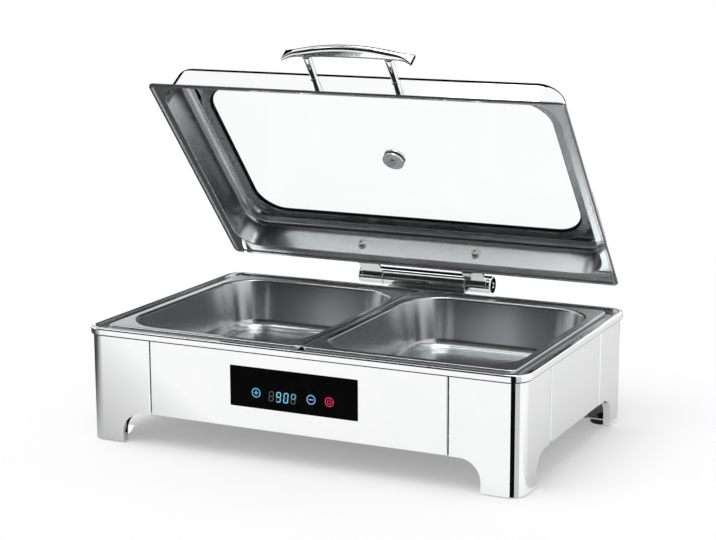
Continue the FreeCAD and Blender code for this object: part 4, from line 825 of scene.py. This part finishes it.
def core_plates(tree):
    """Stacked silicon steel plates: 0.5 mm each on the real core, drawn 2 mm so that the stack shows."""
    place = add(tree, "TexCoord").outputs["Object"]
    stack = add(tree, "TexWave", {"Vector": place, "Scale": wave_repeat / core_plate,
                                  "Distortion": 0.0}, bands_direction="Z")
    tone = add(tree, "Mix", {0: stack.outputs["Fac"], 6: linear("#3A3B3E"), 7: linear("#85878B")},
               data_type="RGBA")
    bump = add(tree, "Bump", {"Height": stack.outputs["Fac"], "Distance": core_plate_depth})
    return {"Base Color": tone.outputs[2], "Metallic": 1.0, "Roughness": 0.45,
            "Normal": bump.outputs[0]}


core_steel = finish("stacked_core_plates", core_plates)


winding_pitch = 1.57 * mm
winding_depth = 0.2 * mm


def copper_winding(tree):
    """Enamelled copper wire: brown turns, drawn 1.6 mm apart so that they show, with painted shade in dark
    brown between them.
    """
    place = add(tree, "TexCoord").outputs["Object"]
    turns = add(tree, "TexWave", {"Vector": place, "Scale": wave_repeat / winding_pitch,
                                  "Distortion": 0.3}, bands_direction="X")
    # Painted shade: the wave darkens the copper between turns.
    tone = add(tree, "Mix", {0: turns.outputs["Fac"], 6: linear("#5C2A12"), 7: linear("#C06A34")},
               data_type="RGBA")
    bump = add(tree, "Bump", {"Height": turns.outputs["Fac"], "Distance": winding_depth})
    return {"Base Color": tone.outputs[2], "Metallic": 0.8, "Roughness": 0.35,
            "Normal": bump.outputs[0]}


copper = finish("enamelled_copper_winding", copper_winding)

# The transformer: a core frame of plates round a coil that bulges out at both faces.
coil_low, coil_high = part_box("transformer")
core_limb = 4.5 * mm
core_back = 1.5 * mm
core_edge = 0.3 * mm
coil_room = core_limb + 0.4 * mm
coil_edge = 2.0 * mm
core = bmesh.new()
for side in (0, 1):
    limb_x = coil_low.x + side * (coil_high.x - coil_low.x - core_limb)
    limb_z = coil_low.z + side * (coil_high.z - coil_low.z - core_limb)
    box_between(core, (limb_x, coil_low.y + core_back, coil_low.z),
                (limb_x + core_limb, coil_high.y, coil_high.z), core_edge)
    box_between(core, (coil_low.x + core_limb, coil_low.y + core_back, limb_z),
                (coil_high.x - core_limb, coil_high.y, limb_z + core_limb), core_edge)
core_frame = piece("transformer_core", core, core_steel, "base")
winding = bmesh.new()
box_between(winding, (coil_low.x + coil_room, coil_low.y, coil_low.z + coil_room),
            (coil_high.x - coil_room, coil_high.y, coil_high.z - coil_room), coil_edge)
coil = piece("transformer_coil", winding, copper, "base")
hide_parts("transformer")
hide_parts("transformer")

# The terminals: blocks in a row along the board's lower edge, each with a screw on top.
power_low, power_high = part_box("power_board")
terminal_count = 8
terminal_pitch = 7.5 * mm
terminal_depth = 8 * mm
terminal_height = 9 * mm
terminal_lift = 1 * mm
terminal_edge = 0.4 * mm
terminal_screw = 1.8 * mm
terminal_screw_top = 1.6 * mm
terminal_screw_depth = 0.8 * mm
terminals = bmesh.new()
terminal_screws = bmesh.new()
for k in range(terminal_count):
    x = (power_low.x + power_high.x) / 2 + (k - (terminal_count - 1) / 2) * terminal_pitch
    bottom = power_low.z + terminal_lift
    low = (x - terminal_pitch / 2, power_low.y - terminal_depth, bottom)
    high = (x + terminal_pitch / 2, power_low.y, bottom + terminal_height)
    box_between(terminals, low, high, terminal_edge)
    at = Vector((x, power_low.y - terminal_depth / 2, high[2]))
    bmesh.ops.create_cone(terminal_screws, cap_ends=True, segments=20, radius1=terminal_screw,
                          radius2=terminal_screw_top, depth=terminal_screw_depth,
                          matrix=Matrix.Translation(at))
piece("terminal_blocks", terminals, relay_blue, "base")
piece("terminal_block_screws", terminal_screws, tin, "base")

# The capacitor: a sleeved can that stands on the board, with rounded ends.
can_radius = 5 * mm
can_length = 11 * mm
can_edge = 0.6 * mm
can_from_end = 6 * mm
can_from_top = 7 * mm
right_angle = math.pi / 2
can = bmesh.new()
can_at = Vector((power_high.x - can_from_end, power_low.y - can_length / 2, power_high.z - can_from_top))
can_place = Matrix.Translation(can_at) @ Matrix.Rotation(right_angle, 4, "X")
bmesh.ops.create_cone(can, cap_ends=True, segments=40, radius1=can_radius, radius2=can_radius,
                      depth=can_length, matrix=can_place)
can_ends = [e for e in can.edges if len(e.link_faces) == 2 and e.calc_face_angle() > right_angle / 2]
bmesh.ops.bevel(can, geom=can_ends, offset=can_edge, affect="EDGES", segments=3, profile=0.5, material=-1)
piece("capacitor_can", can, black_plastic, "base")


# Power inlet
# A three-pin appliance inlet moulded in black plastic, with brass pins.
# Two screws hold it in its opening in the rear panel.

dress(black_plastic, "inlet_socket")
dress(zinc, "inlet_screws")
cross_recesses("inlet_screw_recesses", "inlet_screws", "base")


wipe_line = 0.8 * mm
wipe_reach = 12 * mm
wipe_depth = 0.01 * mm


def plated_brass(tree):
    """Nickel flashed brass: pale gold with brighter wiped streaks along the pins."""
    place = add(tree, "TexCoord").outputs["Object"]
    scale = (1 / wipe_line, 1 / wipe_reach, 1 / wipe_line)
    lines = add(tree, "Mapping", {"Vector": place, "Scale": scale}).outputs[0]
    wipe = add(tree, "TexNoise", {"Vector": lines, "Scale": 1.0, "Detail": 2.0})
    tint = add(tree, "Mix", {0: wipe.outputs["Fac"], 6: linear("#C9AE62"), 7: linear("#E2D6A8")},
               data_type="RGBA")
    bump = add(tree, "Bump", {"Height": wipe.outputs["Fac"], "Distance": wipe_depth})
    return {"Base Color": tint.outputs[2], "Metallic": 1.0, "Roughness": 0.25,
            "Normal": bump.outputs[0]}


brass = finish("nickel_flashed_brass", plated_brass)
dress(brass, "inlet_pins")


# Inner leads
# Stranded copper in heat-proof braided sleeving, laid in lanes round the heater.
# They are cut to length, and their ends go into the terminals of the power board.

braid_thread = 2.36 * mm
braid_depth = 0.1 * mm
braid_turn = (0.6, 0.6, 0.8)


def braided_sleeve(tree):
    """Silicone coated glass braid: cream, with crossing threads drawn 2.4 mm apart so that they show."""
    place = add(tree, "TexCoord").outputs["Object"]
    crossed = add(tree, "Mapping", {"Vector": place, "Rotation": braid_turn}).outputs[0]
    thread = {"Vector": crossed, "Scale": wave_repeat / braid_thread}
    one = add(tree, "TexWave", thread, bands_direction="X")
    two = add(tree, "TexWave", thread, bands_direction="Y")
    braid = add(tree, "Math", {0: one.outputs["Fac"], 1: two.outputs["Fac"]}, operation="MULTIPLY")
    tone = add(tree, "Mix", {0: braid.outputs[0], 6: linear("#B9AE9B"), 7: linear("#E4DCCB")},
               data_type="RGBA")
    bump = add(tree, "Bump", {"Height": braid.outputs[0], "Distance": braid_depth})
    return {"Base Color": tone.outputs[2], "Roughness": 0.6, "Normal": bump.outputs[0]}


sleeve = finish("silicone_glass_sleeve", braided_sleeve)
dress(sleeve, "supply_leads", "board_leads")


# Hinge
# A 2.5 mm stainless bracket on the rear panel carries a polished barrel with a friction damper inside.
# The lid's shaft turns in it, and polished caps close both ends.

dress(satin_steel, "hinge_bracket", "hinge_shaft")
dress(zinc, "bracket_screws")
cross_recesses("bracket_screw_recesses", "bracket_screws", "base")
dress(black_plastic, "hinge_damper")


def polished_along_x(tree):
    """Turned and buffed round bar: buffing lines run round the bar."""
    return polished_sheet(tree, lay=(0, 1, 1))


mirror_bar = finish("mirror_polished_bar", polished_along_x)
dress(mirror_bar, "hinge_barrel", "hinge_end_caps", "left_lid_arm", "right_lid_arm")


# Lid
# Pressed from 1.0 mm stainless: a hemmed flange, drafted walls, a stepped shoulder and a window frame.
# The outside is mirror polished, and the inside keeps a satin finish.

# At rest the lid is turned up by lid_open. A point inside the closed lid, 160 mm up, is turned with it,
# and the sheet's outside is the side whose normal points away from there.
hinge = next(joint for joint in frame["joints"] if joint["name"] == "lid_hinge")
lid_open = -math.radians(hinge["range_deg"][0])
lid_centre = Vector((0.0, 0.0, 160 * mm))
lid_turned = Matrix.Rotation(-lid_open, 3, "X")
hinge_at = Vector(hinge["pos_m"])
inside_point = hinge_at + lid_turned @ (lid_centre - hinge_at)
either_side = 2 * mm
hem_width = 2 * mm
hem_fade = 0.1
lid_upright = Matrix.Rotation(lid_open, 3, "X")
lid_low, lid_high = corners([lid_upright @ v.co for v in frame["nodes"]["lid_shell"].data.vertices])
lid_half = (lid_high - lid_low) / 2


def painted_hem_mask(tree, place):
    """1 on the rolled hem, the outermost 2 mm of the lid all round, where the painted dark reflection
    goes, and 0 elsewhere.
    """
    upright = add(tree, "Mapping", {"Vector": place, "Rotation": (lid_open, 0, 0)}).outputs[0]
    off = add(tree, "VectorMath", {0: upright, 1: lid_low + lid_half}, operation="SUBTRACT").outputs[0]
    out = add(tree, "VectorMath", {0: off}, operation="ABSOLUTE").outputs[0]
    short = add(tree, "VectorMath", {0: out, 1: lid_half}, operation="SUBTRACT").outputs[0]
    short = add(tree, "SeparateXYZ", {0: short})
    edge = add(tree, "Math", {0: short.outputs["X"], 1: short.outputs["Y"]}, operation="MAXIMUM")
    return add(tree, "MapRange", {"Value": edge.outputs[0], "From Min": -(1 + hem_fade) * hem_width,
                                  "From Max": -hem_width}).outputs[0]


def lid_sheet(tree):
    """Mirror steel outside and satin inside, told apart by which way the sheet faces.
    The hem is tinted darker grey, a painted dark reflection that outlines the lid."""
    outer = polished_sheet(tree, lay=(1, 0, 0), turn=(lid_open, 0, 0))
    place = add(tree, "TexCoord")
    away = add(tree, "VectorMath", {0: place.outputs["Object"], 1: inside_point}, operation="SUBTRACT")
    facing = add(tree, "VectorMath", {0: place.outputs["Normal"], 1: away.outputs[0]},
                 operation="DOT_PRODUCT")
    inner = add(tree, "MapRange", {"Value": facing.outputs["Value"], "From Min": either_side,
                                   "From Max": -either_side})
    gloss = add(tree, "Mix", {0: inner.outputs[0], 2: outer["Roughness"], 3: 0.24})
    tint = add(tree, "Mix", {0: inner.outputs[0], 6: outer["Base Color"], 7: linear("#BFC0C2")},
               data_type="RGBA")
    # Painted reflection: the hem is tinted dark grey.
    tint = add(tree, "Mix", {0: painted_hem_mask(tree, place.outputs["Object"]), 6: tint.outputs[2],
                             7: linear("#77797B")}, data_type="RGBA")
    return {**outer, "Base Color": tint.outputs[2], "Roughness": gloss.outputs[0]}


lid_steel = finish("lid_polished_and_satin_stainless", lid_sheet)
dress(lid_steel, "lid_shell")


def pressed_satin(tree):
    """Cold rolled satin steel: no grain to see, only soft clouds in the sheen."""
    return satin_sheet(tree, lay=(1, 1, 1), light="#B4B6B7", dark="#A2A4A6")


smooth_satin = finish("pressed_satin_stainless", pressed_satin)
dress(smooth_satin, "glass_retainer")
dress(zinc, "lid_bolts", "lid_bolt_washers", "lid_bolt_nuts")


# Window
# A 4 mm tempered glass pane in a black silicone seal that is pressed round the opening of the lid.
# A stainless frame holds it from inside.

# Real glass has an index of 1.5: a lower one keeps the pane as clear as in the photo.
pane_index = 1.15
smear_patch = 70 * mm


def tempered_glass(tree):
    """Clear glass with a faint green body, and smears that soften it in places."""
    place = add(tree, "TexCoord").outputs["Object"]
    smear = add(tree, "TexNoise", {"Vector": place, "Scale": 1 / smear_patch, "Detail": 4.0})
    gloss = add(tree, "MapRange", {"Value": smear.outputs["Fac"], "From Min": 0.5, "From Max": 0.8,
                                   "To Min": 0.0, "To Max": 0.04})
    return {"Base Color": linear("#FBFEFD"), "Roughness": gloss.outputs[0], "IOR": pane_index,
            "Transmission Weight": 1.0}


clear_glass = finish("clear_tempered_glass", tempered_glass)
dress(clear_glass, "window_glass")
# The pane casts no shadow, so that the light falls on the pans through it.
frame["nodes"]["window_glass"].visible_shadow = False


seal_line = 1.57 * mm
seal_line_depth = 0.04 * mm
bloom_patch = 18 * mm


def extruded_silicone(tree):
    """Black silicone: matt, with extrusion lines drawn 1.6 mm apart along the seal, and a grey bloom."""
    place = add(tree, "TexCoord").outputs["Object"]
    turned = add(tree, "Mapping", {"Vector": place, "Rotation": (lid_open, 0, 0)}).outputs[0]
    lines = add(tree, "TexWave", {"Vector": turned, "Scale": wave_repeat / seal_line,
                                  "Distortion": 0.2}, bands_direction="Z")
    bloom = add(tree, "TexNoise", {"Vector": place, "Scale": 1 / bloom_patch, "Detail": 3.0})
    tone = add(tree, "Mix", {0: bloom.outputs["Fac"], 6: linear("#0B0B0C"), 7: linear("#1B1B1C")},
               data_type="RGBA")
    bump = add(tree, "Bump", {"Height": lines.outputs["Fac"], "Distance": seal_line_depth})
    return {"Base Color": tone.outputs[2], "Roughness": 0.55, "Normal": bump.outputs[0]}


silicone = finish("extruded_black_silicone", extruded_silicone)
dress(silicone, "glass_gasket")


# Steam vent
# Two turned stainless discs either side of the glass, riveted together through a slotted pivot.
# Turning the outer one opens or shuts the ports of the inner one.

vent_rings = 3.167 * mm
vent_ring_depth = 0.06 * mm
vent_low, vent_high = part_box("vent_base")
vent_middle = (vent_low + vent_high) / 2


def turned_disc(tree):
    """Lathe-turned steel: rings round the middle of the disc, drawn 3 mm apart, satin between them."""
    place = add(tree, "TexCoord").outputs["Object"]
    flat = add(tree, "Mapping", {"Vector": place, "Rotation": (lid_open, 0, 0)})
    middle = Matrix.Rotation(lid_open, 3, "X") @ vent_middle
    centred = add(tree, "VectorMath", {0: flat.outputs[0], 1: middle}, operation="SUBTRACT")
    around = add(tree, "VectorMath", {0: centred.outputs[0], 1: (1, 1, 0)}, operation="MULTIPLY")
    rings = add(tree, "TexWave", {"Vector": around.outputs[0], "Scale": wave_repeat / vent_rings,
                                  "Distortion": 0.0}, wave_type="RINGS", rings_direction="SPHERICAL")
    tint = add(tree, "Mix", {0: rings.outputs["Fac"], 6: linear("#B9BBBD"), 7: linear("#DDDEDF")},
               data_type="RGBA")
    bump = add(tree, "Bump", {"Height": rings.outputs["Fac"], "Distance": vent_ring_depth})
    return {"Base Color": tint.outputs[2], "Metallic": 1.0, "Roughness": 0.24,
            "Normal": bump.outputs[0]}


vent_steel = finish("lathe_turned_stainless", turned_disc)
dress(vent_steel, "vent_base", "vent_shutter")
dress(zinc, "vent_pivot")


# Handle
# A bow of solid stainless bar, forged to fish-tail ends and mirror polished, on two turned posts.
# A screw from inside the lid holds each post.

dress(mirror_bar, "handle_bar", "handle_posts")
dress(zinc, "handle_screws")
cross_recesses("handle_screw_recesses", "handle_screws", "lid")


# Studio
# A pale floor that runs back into a white world, and a broad soft lamp overhead. Dark cards stand outside
# the picture, and only polished metal sees them: they draw its dark lines.

def blank_tree(material):
    """An emptied node tree."""
    material.use_nodes = True
    material.node_tree.nodes.clear()
    return material.node_tree


def seen_directly(tree):
    """1 for rays from the camera, off metal or through glass, and 0 for rays that light the object."""
    path = add(tree, "LightPath")
    one = add(tree, "Math", {0: path.outputs["Is Camera Ray"], 1: path.outputs["Is Glossy Ray"]},
              operation="MAXIMUM")
    return add(tree, "Math", {0: one.outputs[0], 1: path.outputs["Is Transmission Ray"]},
               operation="MAXIMUM").outputs[0]


def stage_sheet(name, shape, material):
    """Put a flat shape into the studio, outside the object."""
    mesh = bpy.data.meshes.new(name)
    shape.to_mesh(mesh)
    shape.free()
    sheet = bpy.data.objects.new(name, mesh)
    bpy.context.scene.collection.objects.link(sheet)
    mesh.materials.append(material)
    return sheet


# The white world lights the object at a plain level, and is white where it is seen.
ambient = 0.55
world = bpy.data.worlds.new("white_studio")
bpy.context.scene.world = world
tree = blank_tree(world)
sky = add(tree, "Mix", {0: seen_directly(tree), 6: (ambient, ambient, ambient, 1), 7: (1, 1, 1, 1)},
          data_type="RGBA")
background = add(tree, "Background", {"Color": sky.outputs[2], "Strength": 1.0})
add(tree, "OutputWorld", {"Surface": background.outputs[0]})

# Lit rays see a plain grey floor. Seen directly it is white, and darkens only where a shadow falls on it.
floor_reach = 30.0
floor_shade = 0.7
floor_paint = bpy.data.materials.new("pale_floor")
tree = blank_tree(floor_paint)
plain = add(tree, "BsdfDiffuse", {"Color": linear("#E6E6E6")})
shade = add(tree, "BsdfDiffuse", {"Color": (floor_shade, floor_shade, floor_shade, 1)})
glow = add(tree, "Emission", {"Color": (1, 1, 1, 1), "Strength": 1 - floor_shade})
white = add(tree, "AddShader", {0: shade.outputs[0], 1: glow.outputs[0]})
pick = add(tree, "MixShader", {0: seen_directly(tree), 1: plain.outputs[0], 2: white.outputs[0]})
add(tree, "OutputMaterial", {"Surface": pick.outputs[0]})
floor_shape = bmesh.new()
bmesh.ops.create_grid(floor_shape, x_segments=1, y_segments=1, size=floor_reach)
stage_sheet("floor", floor_shape, floor_paint)


cloth_black = 0.004


def card_cloth(name, cover):
    """Dark cloth that only rays off polished metal see; cover(tree) is how densely it is woven."""
    cloth = bpy.data.materials.new(name)
    tree = blank_tree(cloth)
    matt = add(tree, "Emission", {"Color": (cloth_black, cloth_black, cloth_black, 1), "Strength": 1.0})
    clear = add(tree, "BsdfTransparent")
    depth = add(tree, "LightPath").outputs["Glossy Depth"]
    bounced = add(tree, "Math", {0: depth, 1: 0.5}, operation="GREATER_THAN")
    woven = add(tree, "Math", {0: bounced.outputs[0], 1: cover(tree)}, operation="MULTIPLY")
    pick = add(tree, "MixShader", {0: woven.outputs[0], 1: clear.outputs[0], 2: matt.outputs[0]})
    add(tree, "OutputMaterial", {"Surface": pick.outputs[0]})
    return cloth


def card(name, shape, cloth):
    """A card that the camera, the lamps and matt surfaces don't see."""
    sheet = stage_sheet(name, shape, cloth)
    sheet.visible_camera = False
    sheet.visible_diffuse = False
    sheet.visible_shadow = False


card_gauge = 0.2 * mm


def flat_card(name, low, high, cloth):
    """A straight card from corner to corner."""
    shape = bmesh.new()
    middle = (Vector(low) + Vector(high)) / 2
    size = Vector(high) - Vector(low) + Vector((card_gauge, card_gauge, card_gauge))
    bmesh.ops.create_cube(shape, size=1, matrix=Matrix.Translation(middle) @ Matrix.Diagonal((*size, 1)))
    card(name, shape, cloth)


def even(amount):
    """The same cover all over a card."""
    return lambda tree: amount


def sloping(direction, none_at, full_at, most):
    """Cover that rises from nothing to its most along a direction."""
    def cover(tree):
        place = add(tree, "TexCoord").outputs["Object"]
        along = add(tree, "VectorMath", {0: place, 1: direction}, operation="DOT_PRODUCT")
        return add(tree, "MapRange", {"Value": along.outputs["Value"], "From Min": none_at,
                                      "From Max": full_at, "To Max": most}).outputs[0]
    return cover


def bowed(middle, most, bend):
    """Cover that is densest at one X and falls off to both sides."""
    def cover(tree):
        place = add(tree, "TexCoord").outputs["Object"]
        along = add(tree, "SeparateXYZ", {0: place}).outputs["X"]
        off = add(tree, "Math", {0: along, 1: middle}, operation="SUBTRACT")
        squared = add(tree, "Math", {0: off.outputs[0], 1: off.outputs[0]}, operation="MULTIPLY")
        return add(tree, "Math", {0: squared.outputs[0], 1: -bend, 2: most}, operation="MULTIPLY_ADD",
                   use_clamp=True).outputs[0]
    return cover


# Each card is given by two corners in metres. Behind the object: a dark card for the folds of the lid, one
# that fades to both sides for the level rims, and a low one for the inside of the lid.
black_cloth = card_cloth("black_card_cloth", even(1.0))
bowed_cloth = card_cloth("bowed_card_cloth", bowed(-0.2, 0.8, 6.0))
rear_y = 0.62
flat_card("rear_card", (-1.3, rear_y, 0.42), (0.52, rear_y, 2.9), black_cloth)
flat_card("rear_tip_card", (0.36, rear_y, 0.385), (0.52, rear_y, 0.42), black_cloth)
flat_card("rear_rim_card", (-0.85, rear_y, 0.24), (0.35, rear_y, 0.42), bowed_cloth)
flat_card("rear_low_card", (-0.55, rear_y, 0.0), (0.28, rear_y, 0.24), black_cloth)

# In front and at the left: grey cards far off. Overhead: one that greys the inside of the lid's rear.
front_cloth = card_cloth("grey_card_cloth", even(0.88))
side_cloth = card_cloth("thin_card_cloth", even(0.5))
front_y = -2.6
left_x = -2.4
flat_card("front_card", (-3.6, front_y, 0.0), (2.4, front_y, 8.0), front_cloth)
ceiling_z = 3.4
flat_card("left_card", (left_x, front_y, 0.0), (left_x, -1.0, 3.2), side_cloth)
flat_card("ceiling_card", (-2.4, -0.7, ceiling_z), (-0.7, 0.35, ceiling_z), black_cloth)

# On the floor: cards that shade the left end of the front, the left side, and the right side towards the
# back, and one under the object that darkens what shows through the arches of the legs.
card_z = 1 * mm
left_cloth = card_cloth("left_sloping_cloth", sloping((-0.67, 0.74, 0), -0.12, 0.31, 0.75))
right_cloth = card_cloth("right_sloping_cloth", sloping((-1.5, 0.25, 0), -0.86, -0.30, 0.18))
flat_card("far_floor_card", (left_x, front_y, card_z), (2.4, -1.15, card_z), black_cloth)
flat_card("left_floor_card", (-1.4, -0.95, card_z), (-0.02, -0.15, card_z), left_cloth)
flat_card("left_side_card", (-1.4, -0.15, card_z), (-0.3, 0.6, card_z), left_cloth)
flat_card("right_floor_card", (0.285, -0.15, card_z), (0.6, 0.9, card_z), right_cloth)
flat_card("under_card", (-0.24, -0.16, card_z), (0.24, 0.16, card_z), black_cloth)


def fan_card(name, near, far, cloth):
    """A card on the floor that spreads out between two lines, from near points to far points."""
    shape = bmesh.new()
    shape.faces.new([shape.verts.new((x, y, card_z)) for x, y in (near[0], far[0], far[1], near[1])])
    card(name, shape, cloth)


# From the right front corner two cards fan out to the front, and draw the corner's dark streak.
corner_near = ((0.2670, -0.1949), (0.2716, -0.1928), (0.2756, -0.1894))
corner_far = ((0.448, -0.923), (0.783, -0.741), (0.995, -0.402))
fade_cloth = card_cloth("fading_card_cloth", even(0.4))
fan_card("corner_card", corner_near[:2], corner_far[:2], black_cloth)
fan_card("corner_fade_card", corner_near[1:], corner_far[1:], fade_cloth)

lamp = bpy.data.lights.new("soft_lamp", "SUN")
lamp.energy = 1.5
lamp.angle = math.radians(60)
lamp_holder = bpy.data.objects.new("soft_lamp", lamp)
bpy.context.scene.collection.objects.link(lamp_holder)
lamp_height = math.radians(72)
lamp_side = math.radians(30)
lamp_tilt = Matrix.Rotation(math.pi / 2 - lamp_height, 4, "X")
lamp_holder.matrix_world = Matrix.Rotation(-lamp_side, 4, "Z") @ lamp_tilt

# The camera stands to the front right, a little above the lid, and was fitted to the photograph.
camera_at = Vector((0.9498, -1.9902, 0.6525))
camera_turn = math.radians(25.764)
camera_drop = math.radians(11.655)
camera_roll = math.radians(-0.254)
camera = bpy.data.cameras.new("photo_camera")
camera.lens = 91.73
camera.sensor_width = 36
camera.sensor_fit = "HORIZONTAL"
camera_holder = bpy.data.objects.new("photo_camera", camera)
bpy.context.scene.collection.objects.link(camera_holder)
stand = Matrix.Rotation(camera_turn, 4, "Z") @ Matrix.Rotation(math.pi / 2 - camera_drop, 4, "X")
camera_holder.matrix_world = Matrix.Translation(camera_at) @ stand @ Matrix.Rotation(camera_roll, 4, "Z")
bpy.context.scene.camera = camera_holder
bpy.context.scene.view_settings.view_transform = "Standard"
